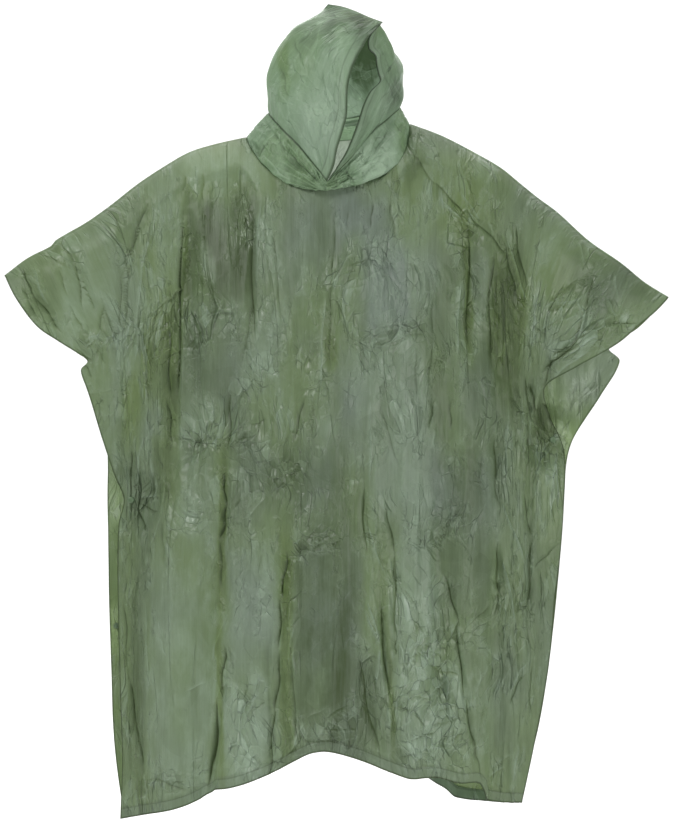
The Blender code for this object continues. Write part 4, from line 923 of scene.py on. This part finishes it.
def film_pattern():
    """Shared colour, roughness and height of creased film: clouds, streaks, crumples, tint patches and welds,
    with painted light and shade on creases, facets, seams and edges.
    """
    tree = bpy.data.node_groups.new("creased film", "ShaderNodeTree")
    for name in FILM_TONES:
        tree.interface.new_socket(name, in_out="INPUT", socket_type="NodeSocketColor")
    tree.interface.new_socket("Gloss", in_out="INPUT", socket_type="NodeSocketFloat")
    tree.interface.new_socket("Colour", in_out="OUTPUT", socket_type="NodeSocketColor")
    tree.interface.new_socket("Roughness", in_out="OUTPUT", socket_type="NodeSocketFloat")
    tree.interface.new_socket("Height", in_out="OUTPUT", socket_type="NodeSocketFloat")
    node = partial(put, tree)
    ramped = partial(ramp, tree)
    given = tree.nodes.new("NodeGroupInput").outputs
    laid = node("UVMap", uv_map="laid_flat").outputs["UV"]
    masks = (node("Attribute", attribute_name=name).outputs["Fac"] for name in MASKS)
    ridge, grey, light, crumple, off_crest, crest, from_edge, from_side = masks

    def reckon(operation, *values, clamp=False):
        return node("Math", dict(enumerate(values)), operation=operation, use_clamp=clamp).outputs[0]

    def times(first, second, clamp=False):
        return reckon("MULTIPLY", first, second, clamp=clamp)

    def total(value, *parts):
        """The value with shares of other values added, given as pairs."""
        for part, share in parts:
            value = reckon("MULTIPLY_ADD", part, share, value)
        return value

    def vector(operation, first, second):
        return node("VectorMath", {0: first, 1: second}, operation=operation).outputs[0]

    def stretched(across, down):
        return node("Mapping", {"Vector": laid, "Scale": (across, down, 1.0)}).outputs[0]

    def waves(across, down, detail, rough=0.5):
        feeds = {"Vector": stretched(across, down), "Scale": 1.0, "Detail": detail, "Roughness": rough}
        return node("TexNoise", feeds).outputs[0]

    def facets(across, down, bend):
        """Border, lean and painted light of flat facets, each with its own slope and its own painted
        lightness, as if it caught the light at its own angle.
        """
        wander = node("TexNoise", {"Vector": laid, "Scale": 12.0, "Detail": 0.0}).outputs[1]
        place = vector("ADD", stretched(across, down), vector("MULTIPLY", wander, (bend, bend, 0.0)))
        feeds = {"Vector": place, "Scale": 1.0}
        border = node("TexVoronoi", feeds, feature="DISTANCE_TO_EDGE", voronoi_dimensions="2D").outputs[0]
        cell = node("TexVoronoi", feeds, feature="F1", voronoi_dimensions="2D").outputs
        away = vector("SUBTRACT", place, cell["Position"])
        own = vector("SUBTRACT", cell["Color"], (0.5, 0.5, 0.5))
        slope = node("VectorMath", {0: away, 1: own}, operation="DOT_PRODUCT").outputs["Value"]
        tone = node("SeparateXYZ", {"Vector": own}).outputs[2]
        return border, times(slope, ramped(border, 0.0, 0.09)), tone

    def toned(share, colour, tone):
        return mixed(tree, share, colour, given[tone])

    clouds = waves(8, 4, 4.0)
    blotches = waves(24, 13, 5.0, rough=0.62)
    streaks = waves(80, 7, 3.0)
    fine = waves(300, 18, 2.0)
    large_border, large_lean, large_facet_light = facets(30, 13, 1.6)
    small_border, small_lean, small_facet_light = facets(84, 44, 4.0)
    rough = reckon("MAXIMUM", total(crumple, (ramped(blotches, 0.45, 0.61, 0.12, 1.0), 1)), 0.06)

    # Painted highlight line on each listed crease that stands out and painted shade line on each that sinks
    # in, with painted light and shade on their flanks, and thin long creases with painted shade in them where
    # a slow noise passes its middle
    sharp = times(reckon("EXPONENT", times(reckon("ABSOLUTE", off_crest), -1 / CREST_WIDTH)), crest)
    beside = times(off_crest, 1 / FLANK_WIDTH)
    flank = reckon("EXPONENT", times(reckon("ABSOLUTE", beside), -1.0))
    flank = times(times(flank, beside), crest)
    off_thin_crease = reckon("ABSOLUTE", reckon("SUBTRACT", waves(19, 2.0, 0.0), 0.5))
    thin_crease = times(ramped(off_thin_crease, 0.0, 0.014, 1.0, 0.0), ramped(blotches, 0.44, 0.56))

    greyed = total(grey, (ramped(clouds, 0.3, 0.7, -0.30, 0.30), 1))
    colour = toned(times(greyed, 1.0, clamp=True), given["Film"], "Grey film")
    colour = toned(times(greyed, -1.0, clamp=True), colour, "Olive film")

    # Milky lines where the film is creased sharply, part real whitening and part painted highlight, and
    # painted light that differs from facet to facet
    whitening_and_painted_light = total(
        ramped(small_border, 0.0, 0.07, 0.16, 0.0),
        (ramped(large_border, 0.0, 0.04, 0.14, 0.0), 1),
        (ramped(small_facet_light, 0.20, 0.42, 0.0, 0.13), 1),
        (small_facet_light, 0.28),
    )
    # Painted light and shade: the lightness mask, painted light on crests and painted shade in troughs, the
    # facets' painted light, crease lines and flanks, and painted shade in thin creases; blotches, streaks and
    # fine noise add random tone
    shade = total(
        light,
        (ramped(blotches, 0.38, 0.62, -0.13, 0.15), 1),
        (ramped(streaks, 0.3, 0.7, -0.06, 0.06), 1),
        (ramped(fine, 0.3, 0.7, -0.06, 0.06), 1),
        (large_facet_light, 0.16),
        (whitening_and_painted_light, rough),
        (ridge, 0.22),
        (sharp, 0.58),
        (flank, 0.90),
        (thin_crease, -0.16),
    )
    # The summed shade darkens towards the deep colour as painted shade and whitens towards the whitish colour
    # as painted light
    colour = toned(times(shade, -1.1, clamp=True), colour, "Deep film and painted shade")
    colour = toned(times(shade, 0.9, clamp=True), colour, "Milky film and painted light")

    # Two films lie on each other in a hem, and its weld line is darker
    in_hem = ramped(from_edge, HEM_WIDTH - 0.0012, HEM_WIDTH + 0.0012, 0.18, 0.0)
    colour = toned(in_hem, colour, "Milky film and painted light")
    off_line = reckon("ABSOLUTE", reckon("SUBTRACT", from_edge, HEM_WIDTH))
    line = ramped(off_line, 0.0004, 0.0020, 1.0, 0.0)
    colour = toned(times(line, 0.30), colour, "Deep film and painted shade")
    # Painted shade along cut edges, darkest at the edge
    nearest_edge = reckon("MINIMUM", from_side, from_edge)
    colour = toned(ramped(nearest_edge, 0.0008, 0.0042, 0.95, 0.0), colour, "Deep film and painted shade")

    uneven = ramped(clouds, 0.3, 0.7, -0.06, 0.08)
    roughness = total(given["Gloss"], (uneven, 1), (ramped(rough, 0.0, 0.8, 0.13, 0.0), 1))
    # Height in millimetres
    crumpled_height = total(
        times(large_border, 3.0), (large_lean, 9.0), (small_border, 1.2), (small_lean, 6.0), (streaks, 1.6)
    )
    height = total(
        times(crumpled_height, rough), (streaks, 0.9), (fine, 0.5), (sharp, 1.3), (thin_crease, -1.0), (line, -0.3)
    )
    out = tree.nodes.new("NodeGroupOutput").inputs
    for socket, value in (("Colour", colour), ("Roughness", roughness), ("Height", height)):
        tree.links.new(value, out[socket])
    return tree


PATTERN = film_pattern()


def blank_material(name):
    """New material, its nodes and its shader."""
    material = bpy.data.materials.new(name)
    material.use_nodes = True
    tree = material.node_tree
    return material, tree, tree.nodes["Principled BSDF"]


def film_material(name, colours, gloss, glow, bump):
    """See-through film: a glossy surface over light that comes through from behind."""
    material, tree, shader = blank_material(name)
    pattern = put(tree, "Group", node_tree=PATTERN)
    for tone, colour in zip(FILM_TONES, colours):
        pattern.inputs[tone].default_value = (*colour, 1.0)
    pattern.inputs["Gloss"].default_value = gloss
    colour = pattern.outputs["Colour"]
    lift = put(tree, "Bump", {"Height": pattern.outputs["Height"], "Distance": bump}).outputs["Normal"]
    tree.links.new(colour, shader.inputs["Base Color"])
    tree.links.new(pattern.outputs["Roughness"], shader.inputs["Roughness"])
    tree.links.new(lift, shader.inputs["Normal"])
    shader.inputs["IOR"].default_value = 1.5
    through = put(tree, "BsdfTranslucent", {"Color": colour, "Normal": lift})
    both = put(tree, "MixShader", {0: glow, 1: shader.outputs[0], 2: through.outputs[0]})
    tree.links.new(both.outputs[0], tree.nodes["Material Output"].inputs["Surface"])
    return material


def plastic_material(name, colour, roughness):
    """Moulded plastic with a fine uneven skin."""
    material, tree, shader = blank_material(name)
    place = put(tree, "TexCoord").outputs["Object"]
    grain = put(tree, "TexNoise", {"Vector": place, "Scale": 900.0, "Detail": 2.0}).outputs[0]
    clouds = put(tree, "TexNoise", {"Vector": place, "Scale": 120.0, "Detail": 2.0}).outputs[0]
    darker = tuple(0.72 * value for value in colour)
    skin = ramp(tree, clouds, 0.3, 0.7, roughness - 0.05, roughness + 0.08)
    lift = put(tree, "Bump", {"Height": grain, "Distance": 0.0001, "Strength": 0.4})
    tree.links.new(mixed(tree, clouds, (*darker, 1.0), (*colour, 1.0)), shader.inputs["Base Color"])
    tree.links.new(skin, shader.inputs["Roughness"])
    tree.links.new(lift.outputs["Normal"], shader.inputs["Normal"])
    return material


def paper_material():
    """White paper, which isn't there for a look from behind it."""
    material, tree, shader = blank_material("white paper")
    shader.inputs["Base Color"].default_value = (0.9, 0.9, 0.9, 1)
    shader.inputs["Roughness"].default_value = 0.9
    behind = put(tree, "NewGeometry").outputs["Backfacing"]
    clear = put(tree, "BsdfTransparent").outputs[0]
    both = put(tree, "MixShader", {0: behind, 1: shader.outputs[0], 2: clear})
    tree.links.new(both.outputs[0], tree.nodes["Material Output"].inputs["Surface"])
    return material


# Each film's colours: film, grey film, olive film, a deep colour for painted shade and weld lines, and a
# whitish colour for painted light and doubled hems
FRONT_COLOURS = (
    (0.160, 0.225, 0.116), (0.166, 0.212, 0.172), (0.150, 0.218, 0.074), (0.048, 0.078, 0.024),
    (0.310, 0.405, 0.300),
)
BACK_COLOURS = (
    (0.170, 0.240, 0.110), (0.170, 0.220, 0.150), (0.165, 0.235, 0.075), (0.065, 0.100, 0.036),
    (0.330, 0.390, 0.315),
)
HOOD_COLOURS = (
    (0.205, 0.310, 0.185), (0.250, 0.335, 0.255), (0.165, 0.265, 0.090), (0.050, 0.085, 0.038),
    (0.370, 0.500, 0.355),
)
# Colours, gloss, share of light that comes through, strength of the relief
FRONT_FILM = film_material("green film of the front", FRONT_COLOURS, 0.38, 0.28, 0.0013)
BACK_FILM = film_material("green film of the back", BACK_COLOURS, 0.38, 0.33, 0.0012)
HOOD_FILM = film_material("light green film of the hood", HOOD_COLOURS, 0.43, 0.28, 0.0008)
WELDED = film_material("welded double film", HOOD_COLOURS, 0.34, 0.35, 0.0005)
STUD_PLASTIC = plastic_material("green stud plastic", (0.12, 0.19, 0.10), 0.32)

# Front and back
for side, material in (("front", FRONT_FILM), ("back", BACK_FILM)):
    made = panel(side)
    inwards = side == "front"
    piece = film(side + "_film", made, inwards)
    dress(piece, material, side + "_panel")
    strip = welded_strip(side + "_hem", made, slice(-HEM_ROWS, None), slice(None), inwards)

# Neck band and hood

# How much painted shade darkens the seam between two pieces, and how crumpled the hood and the band are
WELD_SHADE = 1.2
HOOD_CRUMPLE = 0.1
# How much painted light brightens the tape, which little light passes through, and which rows and columns of
# the band it covers
TAPE_PAINTED_LIGHT = 1.1
TAPE_ROWS = slice(5 * BAND_ROWS // 8, 7 * BAND_ROWS // 8)
TAPE_COLUMNS = slice(int(BAND_COLUMNS * 0.29), int(BAND_COLUMNS * 0.71))


def rays(x, z):
    """Height of long creases that run together at the throat."""
    away_x = x - THROAT[0]
    away_z = z - THROAT[1]
    turn = np.arctan2(away_x, away_z + 0.02)
    reach = np.hypot(away_x, away_z)
    crests = ridged(field(turn, reach, 6, 9, 71.0))
    fine = ridged(field(turn, reach, 15, 14, 83.0), 0.3)
    return (0.0050 * crests + 0.0022 * fine) * np.exp(-((reach / 0.13) ** 2)) * step(reach / 0.03)


def around(front_table, back_table, x, z, front):
    """Creases of a piece that goes round, from one table in front and from another behind."""
    creased, off_crest, crest = creases(front_table, x, z)
    behind = creases(back_table, x, z)[0]
    return creased * front + behind * (1 - front), off_crest, crest


def neck_band():
    """Band as a panel's grid, from the neckline up to the seam of the hood."""
    turns, shares = np.meshgrid(np.linspace(0, 360, BAND_COLUMNS + 1), np.linspace(0, 1, BAND_ROWS))
    turn = turns.reshape(-1)
    up = shares.reshape(-1)
    low = round_neck(turn, NECKLINE)
    place = low + (round_neck(turn, HOOD_SEAM) - low) * up[:, None]
    level = low * np.array([1, 1, 0])
    outward = level / np.linalg.norm(level, axis=1, keepdims=True)
    throat = np.maximum(np.cos(np.radians(turn)), 0)
    swell = NECK_BULGE * np.sin(pi * up**0.6) * (0.15 + 0.85 * throat)
    swell *= 1 + 0.25 * np.sin(np.radians(5 * turn))
    place += outward * swell[:, None]
    roll = 0.008 * np.exp(-(((up - 0.16) / 0.14) ** 2)) * step(up / 0.1)
    roll *= 0.35 + 0.65 * throat
    place[:, 2] -= roll * 0.8
    place += outward * (roll * 0.5)[:, None]
    grid = place.reshape(*turns.shape, 3)
    out = normals_of(grid)
    if out[BAND_ROWS // 2, 0, 1] > 0:
        out = -out
    x, _, z = place.T
    front = step(0.5 - 1.5 * out.reshape(-1, 3)[:, 1])
    height, off_crest, crest = around(BAND_CREASES, BAND_BACK_CREASES, x, z, front)
    ring_x = np.cos(np.radians(turn))
    ring_y = np.sin(np.radians(turn))
    coarse = ridged(bumps(5 * ring_x, 5 * ring_y, 7 * up))
    fine = ridged(bumps(16 * ring_x, 16 * ring_y, 9 * up), 0.3)
    height += 0.0022 * coarse + 0.0006 * fine
    height += rays(x, z) * front
    height *= step(up / 0.12) * step((1 - up) / 0.12)
    height[turn == 360] = height[turn == 0]
    moved = grid + out * height.reshape(*turns.shape, 1)
    moved[:, -1] = moved[:, 0]
    grey, light, _ = tints_and_painted_light(BAND_TINTS_AND_PAINTED_LIGHT, x, z)
    # Painted shade along the band's seams at the neckline and at the hood
    light = light - WELD_SHADE * (1 - step(np.minimum(up, 1 - up) / 0.05))
    ridge = np.clip(height / HOOD_RELIEF, -1, 1)
    rough, no_edge, no_side = (np.full_like(x, value) for value in (HOOD_CRUMPLE, 0.5, 0.02))
    masks = dict(zip(MASKS, (ridge, grey, light, rough, off_crest, crest * front, no_edge, no_side)))
    laid = np.stack([turn / 360 * BAND_CUT[0], up * BAND_CUT[1]], -1).reshape(*turns.shape, 2)
    return moved, out, laid, masks


made = neck_band()
band = film("band_film", made, inwards=False, ring=True)
dress(band, HOOD_FILM, "neck_band")
tape = welded_strip("neck_tape", made, TAPE_ROWS, TAPE_COLUMNS, inwards=False, painted_light=TAPE_PAINTED_LIGHT)

# Edge of each half of the hood round the face, as it is cut and as it is turned in
FACES = {"left": by_length(FACE_LEFT), "right": by_length(FACE_RIGHT)}
TURNED = {"left": FACES["left"], "right": by_length(FACE_RIGHT, FACE_TURNED)}
TURN_SHARE = 0.14
NAPE = by_length(NAPE_SEAM)
CROWN = by_length(CROWN_SEAM)


def hood_half(half):
    """Half of the hood as a panel's grid, from the face back to the nape and up to the crown."""
    way = 1 if half == "left" else -1
    hem = np.linspace(0, HOOD_HEM_SHARE, HOOD_HEM_COLUMNS)
    rest = np.linspace(HOOD_HEM_SHARE, 1, HOOD_COLUMNS - HOOD_HEM_COLUMNS + 1)[1:]
    across, down = np.meshgrid(np.concatenate((hem, rest)), np.linspace(0, 1, HOOD_ROWS))
    u = across.reshape(-1)
    v = down.reshape(-1)
    over = u[:, None]
    up = v[:, None]
    corners = (1 - up) * ((1 - over) * round_neck([0.0], HOOD_SEAM) + over * round_neck([180.0], HOOD_SEAM))
    corners += up * ((1 - over) * CROWN([0.0]) + over * CROWN([1.0]))
    face = TURNED[half](v)
    face += (FACES[half](v) - face) * step(over / TURN_SHARE)
    place = (1 - over) * face + over * NAPE(v)
    place += (1 - up) * round_neck(way * 180 * u, HOOD_SEAM) + up * CROWN(u) - corners
    swell = np.maximum(16 * u * (1 - u) * v * (1 - v), 0) ** 0.8
    place += np.array(HOOD_BULGE[half]) * swell[:, None]
    for middle, width, push in HOOD_PUSH[half]:
        place[:, 0] += push * np.exp(-(((v - middle) / width) ** 2)) * (4 * u * (1 - u)) ** 0.8
    grid = place.reshape(*across.shape, 3)
    out = normals_of(grid)
    if out[HOOD_ROWS // 2, across.shape[1] // 2, 0] * way > 0:
        out = -out
    x, y, z = place.T
    front = step(0.4 - 1.6 * out.reshape(-1, 3)[:, 1])
    creased, off_crest, crest = around(HOOD_CREASES, HOOD_BACK_CREASES, x, z, front)
    coarse = ridged(bumps(14 * x, 14 * y, 7 * z))
    fine = ridged(bumps(38 * x, 38 * y, 15 * z), 0.3)
    height = 0.6 * creased + (0.0014 * coarse + 0.0006 * fine)
    height += rays(x, z) * front
    inner = np.minimum(np.minimum(v, 1 - v), 1 - u)
    height *= step(inner / 0.10) * (0.35 + 0.65 * step(u / 0.10))
    moved = grid + out * height.reshape(*across.shape, 1)
    grey, light, _ = tints_and_painted_light(HOOD_TINTS_AND_PAINTED_LIGHT, x, z)
    back_grey, back_light, _ = tints_and_painted_light(HOOD_BACK_TINTS_AND_PAINTED_LIGHT, x, z)
    grey = grey * front + back_grey * (1 - front)
    # Painted shade along the hood's seam at the neck band
    light = light * front + back_light * (1 - front) - WELD_SHADE * (1 - step(v / 0.014))
    ridge = np.clip(height / HOOD_RELIEF, -1, 1)
    rough = np.full_like(x, HOOD_CRUMPLE)
    from_face = run_of(grid, 1)
    crest = 0.55 * crest * front
    masks = dict(zip(MASKS, (ridge, grey, light, rough, off_crest, crest, from_face, 0.6 * from_face)))
    laid = np.stack([u * HOOD_CUT[0] + way, v * HOOD_CUT[1]], -1).reshape(*across.shape, 2)
    return moved, out, laid, masks


HOOD_HEM_ROWS = slice(HOOD_HEM_SHORT, -HOOD_HEM_SHORT)
for half in ("left", "right"):
    made = hood_half(half)
    inwards = half == "right"
    piece = film("hood_film_" + half, made, inwards)
    dress(piece, HOOD_FILM, "hood_" + half)
    strip = welded_strip("hood_hem_" + half, made, HOOD_HEM_ROWS, slice(0, HOOD_HEM_COLUMNS), inwards)

# Press studs


def press_stud(name, side, place, depth, profile):
    """Half of a press stud, turned from its profile of radius and height outwards."""
    shape = bmesh.new()
    points = [shape.verts.new((radius, 0.0, height)) for radius, height in profile]
    edges = [shape.edges.new(pair) for pair in zip(points, points[1:])]
    bmesh.ops.spin(
        shape, geom=points + edges, cent=(0, 0, 0), axis=(0, 0, 1), angle=2 * pi, steps=40,
        use_merge=True,
    )
    bmesh.ops.remove_doubles(shape, verts=shape.verts, dist=MERGED)
    bmesh.ops.recalc_face_normals(shape, faces=shape.faces)
    if shape.calc_volume(signed=True) < 0:
        bmesh.ops.reverse_faces(shape, faces=shape.faces)
    turn = Matrix.Rotation(-FACING[side] * pi / 2, 4, "X")
    move = Matrix.Translation((place[0], FACING[side] * depth, place[1]))
    bmesh.ops.transform(shape, matrix=move @ turn, verts=shape.verts)
    made = settled(name + "_turned", shape)
    made.data.set_sharp_from_angle(angle=radians(35))
    dress(made, STUD_PLASTIC, name)


STUD_CAP = (
    (0, 0.0021), (0.0012, 0.0022), (0.0026, 0.0024), (0.0036, 0.0027), (0.0044, 0.0026), (0.0050, 0.0023),
    (0.0055, 0.0018), (0.0058, 0.0013), (0.0060, 0.0007), (0.0058, 0.0004), (0.0018, 0.0004),
    (0.0018, -0.0005), (0.0046, -0.0005),
)
SOCKET = STUD_CAP + (
    (0.0047, -0.0012), (0.0046, -0.0033), (0.0043, -0.0036), (0.0026, -0.0036), (0.0022, -0.0032),
    (0.0022, -0.0019), (0, -0.0019),
)
KNOB = STUD_CAP + (
    (0.0047, -0.0012), (0.0046, -0.0027), (0.0043, -0.0030), (0.0018, -0.0030), (0.0016, -0.0036),
    (0.0017, -0.0041), (0.0013, -0.0046), (0, -0.0046),
)
for hand, place in (("left", LEFT_STUD), ("right", RIGHT_STUD)):
    press_stud("stud_front_" + hand, "front", place, CLOSED_STUD_DEPTH, SOCKET)
    press_stud("stud_back_" + hand, "back", place, CLOSED_STUD_DEPTH, KNOB)
press_stud("stud_back_low", "back", LOW_STUD, LOW_STUD_DEPTH, KNOB)

# Floor, lights and camera
FLOOR = -1.45
FLOOR_FRONT = -6.0
BACKDROP_Y = 2.6
BACKDROP_TOP = 5.0
BACKDROP_HALF = 9.0
BEND = 1.0
BEND_STEPS = 12


def backdrop():
    """Floor that bends up into a wall behind the poncho."""
    line = [(FLOOR_FRONT, FLOOR), (BACKDROP_Y - BEND, FLOOR)]
    for k in range(1, BEND_STEPS + 1):
        turn = radians(90 * k / BEND_STEPS)
        line.append((BACKDROP_Y - BEND + BEND * np.sin(turn), FLOOR + BEND * (1 - np.cos(turn))))
    line.append((BACKDROP_Y, BACKDROP_TOP))
    shape = bmesh.new()
    points = [shape.verts.new((-BACKDROP_HALF, y, z)) for y, z in line]
    edges = [shape.edges.new(pair) for pair in zip(points, points[1:])]
    grown = bmesh.ops.extrude_edge_only(shape, edges=edges)
    moved = [item for item in grown["geom"] if isinstance(item, bmesh.types.BMVert)]
    bmesh.ops.translate(shape, vec=(2 * BACKDROP_HALF, 0, 0), verts=moved)
    shape.faces.ensure_lookup_table()
    shape.normal_update()
    if shape.faces[0].normal.z < 0:
        bmesh.ops.reverse_faces(shape, faces=shape.faces)
    made = settled("backdrop", shape)
    made.data.materials.append(paper_material())


def placed(name, data, place, turn):
    """Lamp or camera in its place."""
    holder = bpy.data.objects.new(name, data)
    holder.location = place
    holder.rotation_euler = turn
    bpy.context.scene.collection.objects.link(holder)
    return holder


backdrop()

# Soft lights: name, place, what it points at, size, watts
LIGHTS = (
    ("front left", (-3.1, -2.6, 1.9), (0, 0, -0.55), 1.3, 124),
    ("front right", (3.2, -2.8, -0.2), (0, 0, -0.60), 1.2, 72),
    ("above", (0.2, -1.2, 2.8), (0, 0, -0.3), 1.2, 5),
    ("behind", (0.1, 2.0, 0.3), (0, 0, -0.5), 1.4, 22),
    ("behind the neck", (0.05, 0.9, 0.35), (0, 0, 0), 0.5, 4),
    ("inside the neck", (0.012, -0.030, -0.020), (0.012, 0.090, -0.005), 0.06, 0.065),
    ("on the wall", (0, 0.9, 2.4), (0, 2.6, -0.4), 2.4, 70),
)
for name, place, towards, size, watts in LIGHTS:
    lamp = bpy.data.lights.new(name, "AREA")
    lamp.size = size
    lamp.energy = watts
    turn = (Vector(towards) - Vector(place)).to_track_quat("-Z", "Y").to_euler()
    placed(name, lamp, place, turn).visible_camera = False

world = bpy.data.worlds.new("pale room")
world.use_nodes = True
room = world.node_tree.nodes["Background"].inputs
room["Color"].default_value = (1, 1, 1, 1)
room["Strength"].default_value = 0.28
bpy.context.scene.world = world
bpy.context.scene.view_settings.view_transform = "Standard"

camera = bpy.data.cameras.new("camera")
camera.lens = 112.5
camera.sensor_width = 36
bpy.context.scene.camera = placed("camera", camera, (0.014, -4.5, -0.4839), (radians(90), 0, 0))
